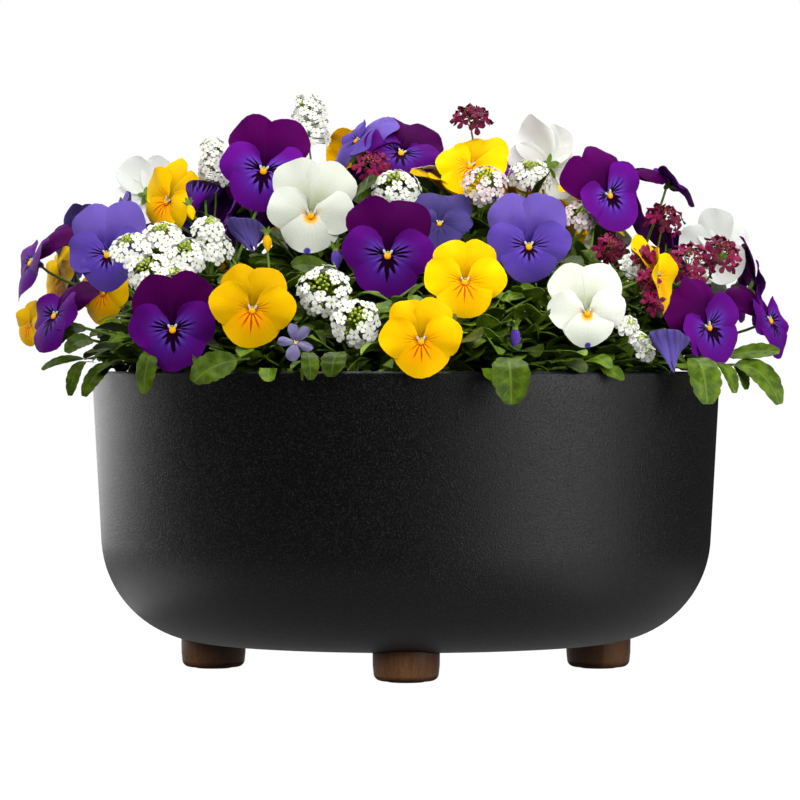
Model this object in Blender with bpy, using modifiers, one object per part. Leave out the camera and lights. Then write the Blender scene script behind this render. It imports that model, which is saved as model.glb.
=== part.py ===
"""Raised planter: a round powder-coated steel bowl on four turned wooden feet, planted with flowers.

Units are metres and +Z is up. The origin is on the bowl's axis, on the ground under the feet,
and the front is -Y. Three bodies come apart: the planter itself, the rubber drain plug, which
pulls down out of the bowl's floor, and the planting, which lifts out in its plastic grow liner.
"""
import math

import bmesh
import bpy
from mathutils import Matrix

# Bowl: driving dimensions
RIM_RADIUS = 0.210
RIM_Z = 0.1987
FLOOR_Z = 0.0187
WALL_SLOPE = 0.055
BASE_FILLET = 0.071
WALL = 0.002
BEAD_RADIUS = 0.0025
BEAD_NECK = 0.006
DRAIN_RADIUS = 0.010

# Clearances
GAP = 0.0003
BOLT_CLEARANCE = 0.0003

# Feet and their fixings
FOOT_CIRCLE = 0.129
FOOT_TOP_RADIUS = 0.0216
FOOT_BOTTOM_RADIUS = 0.0210
FOOT_EDGE_RADIUS = 0.005
FOOT_BLANK_RISE = 0.004
PAD_RADIUS = 0.0120
PAD_THICKNESS = 0.0020
PAD_PROUD = 0.0008
INSERT_RADIUS = 0.005
INSERT_LENGTH = 0.010
BOLT_RADIUS = 0.003
BOLT_HEAD_RADIUS = 0.0055
BOLT_HEAD_HEIGHT = 0.0036
BOLT_REACH = 0.0135
SOCKET_RADIUS = 0.0023
SOCKET_DEPTH = 0.002
WASHER_RADIUS = 0.006
WASHER_THICKNESS = 0.0012
SEAL_THICKNESS = 0.0015

# Drain plug
PLUG_FLANGE_RADIUS = 0.0145
PLUG_FLANGE_THICKNESS = 0.0018
PLUG_RISE = 0.004
PLUG_TAPER = 0.0006
PLUG_TAB_RADIUS = 0.004
PLUG_TAB_LENGTH = 0.0028

# Grow liner and soil
LINER_OFFSET = 0.007
LINER_WALL = 0.0015
LINER_STAND = 0.012
LINER_FILLET = 0.055
LINER_TOP_DROP = 0.012
LINER_LIP = 0.0015
STAND_RING_RADIUS = 0.095
STAND_RING_THICKNESS = 0.003
NOTCH_WIDTH = 0.022
NOTCH_HEIGHT = 0.008
NOTCH_CUTS = 3
LINER_HOLE_RADIUS = 0.005
LINER_HOLE_CIRCLE = 0.062
LINER_HOLES = 6
LINER_HOLE_TURN = 0.3
SOIL_GAP = 0.0004
SOIL_EDGE_DROP = 0.004
SOIL_CROWN_RISE = 0.006

# Planting: each plant keeps to a cell of a round bed
BED_CORE = 0.036
BED_SPLIT = 0.111
SIDE_GAP = 0.0012

# Facets round a full turn
BOWL_STEPS = 64
FOOT_STEPS = 24
SMALL_STEPS = 12
FILLET_STEPS = 7

FRONT, RIGHT, REAR, LEFT = -90.0, 0.0, 90.0, 180.0
FEET = {"front": FRONT, "right": RIGHT, "rear": REAR, "left": LEFT}

OUTER_PLANTS = (
    "pansy_yellow_front", "pansy_white_front_right", "pansy_purple_front_right",
    "alyssum_wine_right", "pansy_purple_right", "pansy_white_right",
    "pansy_yellow_rear_right", "pansy_blue_rear", "alyssum_white_rear",
    "pansy_yellow_rear_left", "pansy_purple_left", "pansy_blue_left",
    "alyssum_white_left", "pansy_purple_front_left", "pansy_yellow_front_left",
    "alyssum_white_front",
)
INNER_PLANTS = (
    "pansy_purple_centre", "pansy_blue_centre_right", "pansy_yellow_centre_right",
    "pansy_white_centre_rear", "pansy_purple_centre_rear", "pansy_purple_centre_left",
    "pansy_white_centre_left",
)
CORE_PLANT = "alyssum_white_centre"

# Levels of a plant's cage: height, inner and outer radius, share of the cell's width.
# The rounded form is smaller than its cage, so a share may pass 1.
OUTER_LEVELS = (
    (0.1905, 0.118, 0.184, 0.90),
    (0.2060, 0.106, 0.196, 1.00),
    (0.2150, 0.102, 0.266, 1.06),
    (0.2780, 0.100, 0.290, 1.06),
    (0.3440, 0.102, 0.250, 1.06),
    (0.3790, 0.108, 0.176, 1.00),
)
INNER_LEVELS = (
    (0.1930, 0.044, 0.104, 0.90),
    (0.2160, 0.032, 0.122, 1.05),
    (0.3530, 0.030, 0.124, 1.05),
    (0.3850, 0.038, 0.106, 1.00),
)
CORE_LEVELS = (
    (0.1940, 0.022),
    (0.2160, 0.038),
    (0.3560, 0.038),
    (0.3900, 0.026),
)


def clear_scene():
    for obj in list(bpy.data.objects):
        bpy.data.objects.remove(obj, do_unlink=True)


def make_collection(name):
    collection = bpy.data.collections.new(name)
    bpy.context.scene.collection.children.link(collection)
    return collection


def make_material(name, colour, roughness, metallic=0.0):
    material = bpy.data.materials.new(name)
    material.use_nodes = True
    shader = material.node_tree.nodes["Principled BSDF"]
    shader.inputs["Base Color"].default_value = (*colour, 1.0)
    shader.inputs["Roughness"].default_value = roughness
    shader.inputs["Metallic"].default_value = metallic
    return material


def add_object(name, bm, material, collection):
    mesh = bpy.data.meshes.new(name)
    bm.to_mesh(mesh)
    bm.free()
    obj = bpy.data.objects.new(name, mesh)
    collection.objects.link(obj)
    if material is not None:
        mesh.materials.append(material)
    return obj


def add_cutter(name, bm, cutters):
    cutter = add_object(name, bm, None, cutters)
    cutter.hide_render = True
    cutter.display_type = "WIRE"
    return cutter


def cut(obj, cutter):
    boolean = obj.modifiers.new("cut_" + cutter.name, "BOOLEAN")
    boolean.operation = "DIFFERENCE"
    boolean.solver = "EXACT"
    boolean.object = cutter


def arc(centre_r, centre_z, radius, start, end, steps):
    """Points of an arc in the turning plane, with angles in degrees from +X."""
    points = []
    for i in range(steps + 1):
        angle = math.radians(start + (end - start) * i / steps)
        points.append((centre_r + radius * math.cos(angle), centre_z + radius * math.sin(angle)))
    return points


def profile_mesh(points, closed):
    """A chain of edges in the XZ plane, ready for a Screw modifier."""
    bm = bmesh.new()
    verts = [bm.verts.new((r, 0.0, z)) for r, z in points]
    for start, end in zip(verts, verts[1:]):
        bm.edges.new((start, end))
    if closed:
        bm.edges.new((verts[-1], verts[0]))
    return bm


def spin(obj, steps):
    screw = obj.modifiers.new("turn", "SCREW")
    screw.axis = "Z"
    screw.angle = math.tau
    screw.steps = steps
    screw.render_steps = steps
    screw.use_merge_vertices = True
    screw.merge_threshold = 0.00001
    screw.use_smooth_shade = False


def turned(name, points, steps, material, collection, closed=False):
    """A turned piece: its profile runs down the outer side, from top to bottom."""
    obj = add_object(name, profile_mesh(points, closed), material, collection)
    spin(obj, steps)
    return obj


def turned_cutter(name, points, steps, cutters):
    cutter = add_cutter(name, profile_mesh(points, False), cutters)
    spin(cutter, steps)
    return cutter


def wall_radius(z):
    """Outer radius of the bowl's leaning wall, extended, at a height."""
    return RIM_RADIUS - WALL_SLOPE * (RIM_Z - z)


def bowl_side(offset, top_z, bottom_z, fillet):
    """The bowl's side set in by offset, from top_z round the fillet to the flat floor at bottom_z."""
    lean = math.atan(WALL_SLOPE)
    centre_z = bottom_z + fillet
    centre_r = wall_radius(centre_z) - (offset + fillet) / math.cos(lean)
    top = (wall_radius(top_z) - offset / math.cos(lean), top_z)
    bend = arc(centre_r, centre_z, fillet, -math.degrees(lean), -90.0, FILLET_STEPS)
    return [top] + bend


def polar(radius, degrees):
    angle = math.radians(degrees)
    return radius * math.cos(angle), radius * math.sin(angle)


def cylinder(bm, radius, low, high, x, y, steps):
    """An upright cylinder with flats, not corners, on the X and Y axes."""
    half_step = Matrix.Rotation(math.pi / steps, 4, "Z")
    place = Matrix.Translation((x, y, (low + high) / 2))
    bmesh.ops.create_cone(
        bm, cap_ends=True, segments=steps, radius1=radius, radius2=radius, depth=high - low,
        matrix=place @ half_step,
    )


def ring(low, high, inner, outer):
    """Closed rectangular section of a washer."""
    return [(outer, high), (outer, low), (inner, low), (inner, high)]


def place_at_foot(obj, degrees):
    x, y = polar(FOOT_CIRCLE, degrees)
    obj.location = (x, y, 0.0)


def make_bowl(collection, cutters, steel):
    """The spun bowl: one wall with a rolled bead at the rim, a drain hole and four bolt holes."""
    bead_z = RIM_Z - BEAD_RADIUS
    outer = bowl_side(0.0, bead_z, FLOOR_Z, BASE_FILLET)
    inner = bowl_side(WALL, bead_z - BEAD_NECK, FLOOR_Z + WALL, BASE_FILLET - WALL)
    drain = [(DRAIN_RADIUS, FLOOR_Z), (DRAIN_RADIUS, FLOOR_Z + WALL)]
    bead_centre = wall_radius(bead_z) - BEAD_RADIUS
    bead = arc(bead_centre, bead_z, BEAD_RADIUS, 180.0, 0.0, 6)[:-1]
    neck = (bead_centre - BEAD_RADIUS, bead_z - BEAD_RADIUS)
    profile = outer + drain + inner[::-1] + [neck] + bead
    bowl = turned("pot_shell", profile, BOWL_STEPS, steel, collection, closed=True)
    holes = bmesh.new()
    for degrees in FEET.values():
        x, y = polar(FOOT_CIRCLE, degrees)
        radius = BOLT_RADIUS + BOLT_CLEARANCE
        cylinder(holes, radius, FLOOR_Z - WALL, FLOOR_Z + 2 * WALL, x, y, SMALL_STEPS)
    cut(bowl, add_cutter("bolt_holes", holes, cutters))


def make_foot(place, degrees, collection, bowl_cope, walnut):
    """A turned foot, bored for its insert, recessed for its pad and coped to the bowl's fillet."""
    top = FLOOR_Z + FOOT_BLANK_RISE
    bore_radius = INSERT_RADIUS + GAP
    bore_floor = FLOOR_Z - GAP - INSERT_LENGTH - 2 * GAP
    recess_radius = PAD_RADIUS + GAP
    recess_top = PAD_THICKNESS + GAP
    edge_centre = FOOT_BOTTOM_RADIUS - FOOT_EDGE_RADIUS
    edge = arc(edge_centre, PAD_PROUD + FOOT_EDGE_RADIUS, FOOT_EDGE_RADIUS, 0.0, -90.0, 4)
    profile = [(0.0, bore_floor), (bore_radius, bore_floor), (bore_radius, top)]
    profile += [(FOOT_TOP_RADIUS, top)] + edge
    profile += [(recess_radius, PAD_PROUD), (recess_radius, recess_top), (0.0, recess_top)]
    foot = turned("foot_" + place, profile, FOOT_STEPS, walnut, collection)
    place_at_foot(foot, degrees)
    cut(foot, bowl_cope)


def make_pad(place, degrees, collection, rubber):
    chamfer = PAD_PROUD / 2
    profile = [
        (0.0, PAD_THICKNESS), (PAD_RADIUS, PAD_THICKNESS), (PAD_RADIUS, chamfer),
        (PAD_RADIUS - chamfer, 0.0), (0.0, 0.0),
    ]
    pad = turned("foot_pad_" + place, profile, FOOT_STEPS, rubber, collection)
    place_at_foot(pad, degrees)


def make_insert(place, degrees, collection, brass):
    """A flanged press-in nut with one knurl groove, flush with the foot's top."""
    high = FLOOR_Z - GAP
    low = high - INSERT_LENGTH
    bore = BOLT_RADIUS + BOLT_CLEARANCE
    groove = INSERT_RADIUS - 0.0006
    profile = [
        (INSERT_RADIUS, high), (INSERT_RADIUS, high - 0.003), (groove, high - 0.004),
        (groove, high - 0.006), (INSERT_RADIUS, high - 0.007), (INSERT_RADIUS, low),
        (bore, low), (bore, high),
    ]
    insert = turned("threaded_insert_" + place, profile, SMALL_STEPS, brass, collection, closed=True)
    place_at_foot(insert, degrees)


def make_fixings(place, degrees, collection, cutters, steel, rubber):
    """Sealing washer, steel washer and button-head bolt, stacked on the bowl's floor."""
    bore = BOLT_RADIUS + BOLT_CLEARANCE
    seal_low = FLOOR_Z + WALL + GAP
    seal_high = seal_low + SEAL_THICKNESS
    seal = turned(
        "seal_washer_" + place, ring(seal_low, seal_high, bore, WASHER_RADIUS),
        SMALL_STEPS, rubber, collection, closed=True,
    )
    place_at_foot(seal, degrees)
    washer_low = seal_high + GAP
    washer_high = washer_low + WASHER_THICKNESS
    washer = turned(
        "bolt_washer_" + place, ring(washer_low, washer_high, bore, WASHER_RADIUS),
        SMALL_STEPS, steel, collection, closed=True,
    )
    place_at_foot(washer, degrees)
    head_low = washer_high + GAP
    head_high = head_low + BOLT_HEAD_HEIGHT
    tip = head_low - BOLT_REACH
    profile = [
        (0.0, head_high), (BOLT_HEAD_RADIUS * 0.62, head_high),
        (BOLT_HEAD_RADIUS * 0.9, head_high - BOLT_HEAD_HEIGHT * 0.35),
        (BOLT_HEAD_RADIUS, head_high - BOLT_HEAD_HEIGHT * 0.75), (BOLT_HEAD_RADIUS, head_low),
        (BOLT_RADIUS, head_low), (BOLT_RADIUS, tip), (0.0, tip),
    ]
    bolt = turned("foot_bolt_" + place, profile, SMALL_STEPS, steel, collection)
    place_at_foot(bolt, degrees)
    socket = bmesh.new()
    x, y = polar(FOOT_CIRCLE, degrees)
    cylinder(socket, SOCKET_RADIUS, head_high - SOCKET_DEPTH, head_high + SOCKET_DEPTH, x, y, 6)
    cut(bolt, add_cutter("hex_socket_" + place, socket, cutters))


def make_drain_plug(collection, rubber):
    """A tapered bung with a flange under the floor and a finger tab; it pulls straight down."""
    flange_high = FLOOR_Z - GAP
    flange_low = flange_high - PLUG_FLANGE_THICKNESS
    neck = DRAIN_RADIUS - GAP
    top = FLOOR_Z + PLUG_RISE
    tab_low = flange_low - PLUG_TAB_LENGTH
    profile = [
        (0.0, top), (neck - PLUG_TAPER, top), (neck, FLOOR_Z + WALL), (neck, flange_high),
        (PLUG_FLANGE_RADIUS, flange_high), (PLUG_FLANGE_RADIUS, flange_low),
        (PLUG_TAB_RADIUS, flange_low), (PLUG_TAB_RADIUS, tab_low), (0.0, tab_low),
    ]
    turned("drain_plug", profile, FOOT_STEPS, rubber, collection)


def liner_floor():
    return FLOOR_Z + WALL + LINER_STAND


def make_liner(collection, cutters, plastic):
    """The thin inner tub: a lip to lift it by, a notched standing ring and drainage holes."""
    top = RIM_Z - LINER_TOP_DROP
    floor = liner_floor()
    outer = bowl_side(LINER_OFFSET, top - LINER_WALL, floor, LINER_FILLET)
    inner_offset = LINER_OFFSET + LINER_WALL
    inner = bowl_side(inner_offset, top, floor + LINER_WALL, LINER_FILLET - LINER_WALL)
    lip_radius = outer[0][0] + LINER_LIP
    lip = [(lip_radius, top), (lip_radius, top - LINER_WALL)]
    stand_low = FLOOR_Z + WALL + GAP
    stand_outer = STAND_RING_RADIUS + STAND_RING_THICKNESS
    stand = [
        (stand_outer, floor), (stand_outer, stand_low),
        (STAND_RING_RADIUS, stand_low), (STAND_RING_RADIUS, floor),
    ]
    middle = [(LINER_HOLE_RADIUS, floor), (LINER_HOLE_RADIUS, floor + LINER_WALL)]
    profile = lip + outer + stand + middle + inner[::-1]
    liner = turned("grow_liner", profile, BOWL_STEPS, plastic, collection, closed=True)
    holes = bmesh.new()
    for i in range(LINER_HOLES):
        x, y = polar(LINER_HOLE_CIRCLE, 360.0 * (i + LINER_HOLE_TURN) / LINER_HOLES)
        low = floor - LINER_WALL
        cylinder(holes, LINER_HOLE_RADIUS, low, floor + 2 * LINER_WALL, x, y, SMALL_STEPS)
    cut(liner, add_cutter("liner_holes", holes, cutters))
    for i in range(NOTCH_CUTS):
        notch = bmesh.new()
        bmesh.ops.create_cube(notch, size=1.0)
        bmesh.ops.scale(notch, verts=notch.verts, vec=(4 * STAND_RING_RADIUS, NOTCH_WIDTH, NOTCH_HEIGHT))
        cutter = add_cutter(f"liner_notch_{i + 1}", notch, cutters)
        cutter.location = (0.0, 0.0, stand_low + NOTCH_HEIGHT / 2 - WALL)
        cutter.rotation_euler = (0.0, 0.0, math.pi * i / NOTCH_CUTS)
        cut(liner, cutter)


def soil_top(radius):
    """Height of the domed soil at a radius."""
    edge = RIM_Z - LINER_TOP_DROP - SOIL_EDGE_DROP
    share = min(radius / RIM_RADIUS, 1.0)
    return edge + SOIL_CROWN_RISE * (1.0 - share * share)


def make_soil(collection, earth):
    offset = LINER_OFFSET + LINER_WALL + SOIL_GAP
    bottom = liner_floor() + LINER_WALL + SOIL_GAP
    fillet = LINER_FILLET - LINER_WALL - SOIL_GAP
    side = bowl_side(offset, soil_top(RIM_RADIUS), bottom, fillet)
    crown = [(radius, soil_top(radius)) for radius in (0.0, BED_CORE, BED_SPLIT)]
    turned("soil", crown + side + [(0.0, bottom)], BOWL_STEPS, earth, collection)


def soft_form(name, rings, material, collection):
    """A closed cage through rings of points, rounded by one level of subdivision."""
    bm = bmesh.new()
    levels = [[bm.verts.new(point) for point in points] for points in rings]
    count = len(levels[0])
    for lower, upper in zip(levels, levels[1:]):
        for i in range(count):
            j = (i + 1) % count
            bm.faces.new((lower[i], lower[j], upper[j], upper[i]))
    bm.faces.new(levels[0][::-1])
    bm.faces.new(levels[-1])
    obj = add_object(name, bm, material, collection)
    subdivision = obj.modifiers.new("soften", "SUBSURF")
    subdivision.levels = 1
    subdivision.render_levels = 1
    return obj


def cell_rings(levels, middle, half_width):
    """Rings of one sector of the bed, from the soil up, kept clear of its neighbours."""
    rings = []
    for z, inner, outer, share in levels:
        points = []
        for radius, side in ((inner, -1), (outer, -1), (outer, 1), (inner, 1)):
            clearance = math.degrees(SIDE_GAP / radius)
            x, y = polar(radius, middle + side * (half_width * share - clearance))
            points.append((x, y, z))
        rings.append(points)
    return rings


def make_planting(collection, materials):
    """Every plant as a soft form in its own cell: an outer ring, an inner ring and a core."""
    for names, levels in ((OUTER_PLANTS, OUTER_LEVELS), (INNER_PLANTS, INNER_LEVELS)):
        width = 360.0 / len(names)
        start = FRONT + (width / 2 if names is OUTER_PLANTS else 0.0)
        for i, name in enumerate(names):
            rings = cell_rings(levels, start + width * i, width / 2)
            soft_form(name, rings, plant_material(name, materials), collection)
    rings = []
    for z, radius in CORE_LEVELS:
        rings.append([(*polar(radius, 60.0 * i), z) for i in range(6)])
    soft_form(CORE_PLANT, rings, plant_material(CORE_PLANT, materials), collection)


def plant_material(name, materials):
    kind, colour = name.split("_")[:2]
    return materials[kind + "_" + colour]


def make_plant_materials():
    colours = {
        "pansy_purple": (0.16, 0.02, 0.22),
        "pansy_blue": (0.14, 0.08, 0.45),
        "pansy_yellow": (0.85, 0.50, 0.02),
        "pansy_white": (0.85, 0.84, 0.76),
        "alyssum_white": (0.80, 0.82, 0.72),
        "alyssum_wine": (0.25, 0.02, 0.08),
    }
    return {name: make_material(name, colour, 0.6) for name, colour in colours.items()}


def main():
    clear_scene()
    planter = make_collection("raised_planter")
    cutters = make_collection("cutters")
    coated_steel = make_material("powder_coated_steel", (0.022, 0.022, 0.024), 0.55)
    walnut = make_material("oiled_walnut", (0.085, 0.042, 0.024), 0.45)
    zinc = make_material("zinc_plated_steel", (0.55, 0.56, 0.58), 0.3, 1.0)
    brass = make_material("brass", (0.65, 0.47, 0.20), 0.35, 1.0)
    rubber = make_material("black_rubber", (0.02, 0.02, 0.02), 0.8)
    plastic = make_material("liner_plastic", (0.03, 0.03, 0.032), 0.5)
    earth = make_material("potting_soil", (0.05, 0.032, 0.022), 0.95)

    make_bowl(planter, cutters, coated_steel)
    cope_side = bowl_side(-GAP, FLOOR_Z + BASE_FILLET, FLOOR_Z - GAP, BASE_FILLET + GAP)
    cope = [(0.0, cope_side[0][1])] + cope_side + [(0.0, FLOOR_Z - GAP)]
    bowl_cope = turned_cutter("bowl_cope", cope, BOWL_STEPS, cutters)
    for place, degrees in FEET.items():
        make_foot(place, degrees, planter, bowl_cope, walnut)
        make_pad(place, degrees, planter, rubber)
        make_insert(place, degrees, planter, brass)
        make_fixings(place, degrees, planter, cutters, zinc, rubber)
    make_drain_plug(planter, rubber)
    make_liner(planter, cutters, plastic)
    make_soil(planter, earth)
    make_planting(planter, make_plant_materials())


main()
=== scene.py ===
"""Looks of the raised planter: a powder-coated bowl on walnut feet, full of pansies and sweet alyssum.

Everything is in metres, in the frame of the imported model, and the front is -Y. Places are worked out
from the frame: the centre of the bowl's rim, the bowl's floor and the box of each plant's CAD solid.
"""
import math
from collections import namedtuple

import bpy
import numpy as np
from mathutils import Matrix, Vector


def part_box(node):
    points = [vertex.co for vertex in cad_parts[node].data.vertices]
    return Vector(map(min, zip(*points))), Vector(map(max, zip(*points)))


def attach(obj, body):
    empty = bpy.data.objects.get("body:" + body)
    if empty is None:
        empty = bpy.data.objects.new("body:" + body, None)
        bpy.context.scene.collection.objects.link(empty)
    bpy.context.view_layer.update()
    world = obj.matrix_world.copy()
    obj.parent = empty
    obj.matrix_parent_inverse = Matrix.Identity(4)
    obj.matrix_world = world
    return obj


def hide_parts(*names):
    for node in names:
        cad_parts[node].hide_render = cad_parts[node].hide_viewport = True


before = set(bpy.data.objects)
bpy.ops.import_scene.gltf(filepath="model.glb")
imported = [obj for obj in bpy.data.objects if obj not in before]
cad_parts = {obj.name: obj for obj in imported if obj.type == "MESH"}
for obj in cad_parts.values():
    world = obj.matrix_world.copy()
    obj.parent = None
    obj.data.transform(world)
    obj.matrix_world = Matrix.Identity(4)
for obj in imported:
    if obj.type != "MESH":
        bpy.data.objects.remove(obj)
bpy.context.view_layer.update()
SHELL_LOW, SHELL_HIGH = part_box("pot_shell")

MM = 0.001
SEED = 7

# The bowl, as its CAD solid has it
RIM_RADIUS = 210.0 * MM
RIM_Z = SHELL_HIGH.z
FLOOR_Z = SHELL_LOW.z
WALL_SLOPE = 0.055
BASE_FILLET = 71.0 * MM
WALL = 2.0 * MM
BEAD_RADIUS = 2.5 * MM
BEAD_NECK = 6.0 * MM
DRAIN_RADIUS = 10.0 * MM
FLOOR_RINGS = (DRAIN_RADIUS, DRAIN_RADIUS + MM, 60.0 * MM, 100.0 * MM)
BOWL_STEPS = 240

# The feet
FOOT_TOP_RADIUS = 21.6 * MM
FOOT_BOTTOM_RADIUS = 21.0 * MM
FOOT_EDGE_RADIUS = 5.0 * MM
FOOT_GAP = 0.3 * MM
PAD_RADIUS = 12.0 * MM
PAD_RECESS = 1.5 * MM
FOOT_STEPS = 72
POLE_RADIUS = 0.3 * MM

# The soil: how far its dome rises, how far its side stands in from the bowl's outer wall, its bottom
# fillet, and the crumbs on it, one in eleven of them perlite
SOIL_RISE = 6.0 * MM
SOIL_OFFSET = 9.4 * MM
SOIL_FILLET = 52.6 * MM
SOIL_STEPS = 120
SOIL_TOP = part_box("soil")[1].z - SOIL_RISE
SOIL_WAVES = ((90.0, 0.3, 1.0), (210.0, 2.0, 0.4), (430.0, 1.1, 2.2))
SOIL_POLE = 0.5 * MM
CRUMBS = 700
PERLITE_EVERY = 11

# How far leaves stay from the rim, in radius and height
RIM_INSIDE = 198.0 * MM
RIM_OUTSIDE = 213.0 * MM
RIM_CLEARANCE = 2.0 * MM

# The foliage's surface above the rim, and how far its shoots and rosettes reach from the axis
FOLIAGE_EDGE = 12.0 * MM
FOLIAGE_RISE = 112.0 * MM
FOLIAGE_RADIUS = 225.0 * MM
SHOOT_LEAN = 1.12
SHOOT_REACH = 212.0 * MM
ROSETTE_REACH = 190.0 * MM
SHOOTS, SHOOT_SPREAD = 14, 44.0 * MM
ROSETTE_LEAVES, ROSETTE_SPREAD = 40, 58.0 * MM
FRINGE_LEAVES = 180

# Each plant's crown, as a share of its CAD solid's distance from the axis, and above the soil
CROWN_SHARE = 0.8
CROWN_HEIGHT = 2.0 * MM

# The dome that the back's blossoms lie on, in millimetres
DOME_RISE = 139.0
DOME_RADIUS = 272.0
DOME_REACH = 250.0

# Free space ahead of a blossom
FREE_AHEAD = 45.0 * MM

# Edges over these angles, in degrees, are shaded sharp
TURNED_SHARP = 40.0
PLANT_SHARP = 55.0
SMOOTH = 180.0

UP = Vector((0.0, 0.0, 1.0))
AHEAD = Vector((0.0, -1.0, 0.0))
MARKS = ("across", "along", "part", "tint")
UPPER, SIDE, LOWER, LEAF = 0.0, 1.0, 2.0, 3.0
GOLDEN_ANGLE = math.pi * (3.0 - math.sqrt(5.0))


# Mesh making

def link(name, data):
    """An object of that name in the scene."""
    thing = bpy.data.objects.new(name, data)
    bpy.context.scene.collection.objects.link(thing)
    return thing


def unit(vectors):
    vectors = np.asarray(vectors, float)
    return vectors / (np.linalg.norm(vectors, axis=-1, keepdims=True) + 1e-12)


def heading_of(turn, rise):
    """A direction at a turn about +Z, rising by so much for each unit out."""
    return np.array((math.cos(turn), math.sin(turn), rise))


def marks_of(count, across=0.0, along=0.0, part=0.0, tint=0.5):
    """The four marks of each point: where it lies on its petal or leaf, which part, and a random tint."""
    marks = np.empty((count, 4))
    for column, value in enumerate((across, along, part, tint)):
        marks[:, column] = value
    return marks


class Build:
    """One piece in the making, from sheets, tubes and grains of several materials."""

    def __init__(self):
        self.points = []
        self.marks = []
        self.faces = {3: [], 4: []}
        self.slots = {3: [], 4: []}
        self.materials = []
        self.count = 0

    def add(self, points, faces, material, marks):
        if material not in self.materials:
            self.materials.append(material)
        corners = faces.shape[1]
        self.points.append(points)
        self.marks.append(marks)
        self.faces[corners].append(faces + self.count)
        self.slots[corners].append(np.full(len(faces), self.materials.index(material)))
        self.count += len(points)

    def add_turning(self, grid, material):
        """A turned grid of points, rows by steps, as the first part, with its end rings closed."""
        rows, steps = grid.shape[:2]
        self.add(grid.reshape(-1, 3), grid_faces(rows, steps, wrap=True), material, marks_of(rows * steps))
        fan = np.array([(0, i + 1, i + 2) for i in range(steps - 2)])
        last = (rows - 1) * steps
        self.faces[3].append(np.concatenate((fan, fan[:, ::-1] + last)))
        self.slots[3].append(np.zeros(2 * len(fan), int))

    def make(self, name, sharp, shape=None):
        """The finished piece, its edges sharp over an angle in degrees, its points passed through shape."""
        points = np.concatenate(self.points)
        if shape is not None:
            points = shape(points)
        groups = [group for corners in (4, 3) for group in self.faces[corners]]
        slots = [group for corners in (4, 3) for group in self.slots[corners]]
        faces = [face for group in groups for face in group.tolist()]
        mesh = bpy.data.meshes.new(name)
        mesh.from_pydata(points.tolist(), [], faces)
        mesh.polygons.foreach_set("material_index", np.concatenate(slots).astype(np.int32))
        mesh.shade_smooth()
        mesh.set_sharp_from_angle(angle=math.radians(sharp))
        marks = np.concatenate(self.marks)
        for column, mark in enumerate(MARKS):
            attribute = mesh.attributes.new(mark, "FLOAT", "POINT")
            attribute.data.foreach_set("value", marks[:, column].astype(np.float32))
        for material in self.materials:
            mesh.materials.append(MATERIALS[material])
        return link(name, mesh)


def grid_faces(rows, columns, wrap=False):
    """Faces of a grid of points, row by row; wrap joins the last column to the first."""
    index = np.arange(rows * columns).reshape(rows, columns)
    following = np.roll(index, -1, axis=1)
    if not wrap:
        index, following = index[:, :-1], following[:, :-1]
    corners = (index[1:], following[1:], following[:-1], index[:-1])
    return np.stack(corners, axis=-1).reshape(-1, 4)


def add_sheet(build, grid, thickness, material, across, along, part, tint):
    """A closed thin shell round a grid of points (rows along, columns across)."""
    rows, columns = grid.shape[:2]
    normal = unit(np.cross(np.gradient(grid, axis=0), np.gradient(grid, axis=1)))
    half = normal * (thickness / 2)
    points = np.concatenate(((grid + half).reshape(-1, 3), (grid - half).reshape(-1, 3)))
    count = rows * columns
    front = grid_faces(rows, columns)
    index = np.arange(count).reshape(rows, columns)
    edge = np.concatenate((index[0, :-1], index[:-1, -1], index[-1, :0:-1], index[:0:-1, 0]))
    following = np.roll(edge, -1)
    rim = np.stack((edge, following, following + count, edge + count), axis=-1)
    faces = np.concatenate((front, front[:, ::-1] + count, rim))
    across = np.broadcast_to(across, (rows, columns)).ravel()
    along = np.broadcast_to(along, (rows, columns)).ravel()
    marks = marks_of(2 * count, np.tile(across, 2), np.tile(along, 2), part, tint)
    build.add(points, faces, material, marks)


def add_tube(build, path, radii, sides, material, tint):
    """A closed tube along a chain of points."""
    path = np.asarray(path, float)
    tangent = unit(np.gradient(path, axis=0))
    mean = np.abs(tangent).mean(axis=0)
    reference = np.eye(3)[int(np.argmin(mean))]
    side = unit(np.cross(tangent, reference))
    other = np.cross(tangent, side)
    turn = np.arange(sides) * (math.tau / sides)
    radii = np.broadcast_to(radii, len(path))[:, None, None]
    ring = side[:, None] * np.cos(turn)[None, :, None] + other[:, None] * np.sin(turn)[None, :, None]
    points = (path[:, None] + radii * ring).reshape(-1, 3)
    along = np.repeat(np.linspace(0.0, 1.0, len(path)), sides)
    faces = grid_faces(len(path), sides, wrap=True)[:, ::-1]
    fan = np.array([(0, i + 1, i + 2) for i in range(sides - 2)])
    last = (len(path) - 1) * sides
    start = build.count
    build.add(points, faces, material, marks_of(len(points), 0.0, along, LEAF, tint))
    slot = np.full(2 * len(fan), build.materials.index(material))
    build.faces[3].append(np.concatenate((fan[:, ::-1], fan + last)) + start)
    build.slots[3].append(slot)


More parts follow.
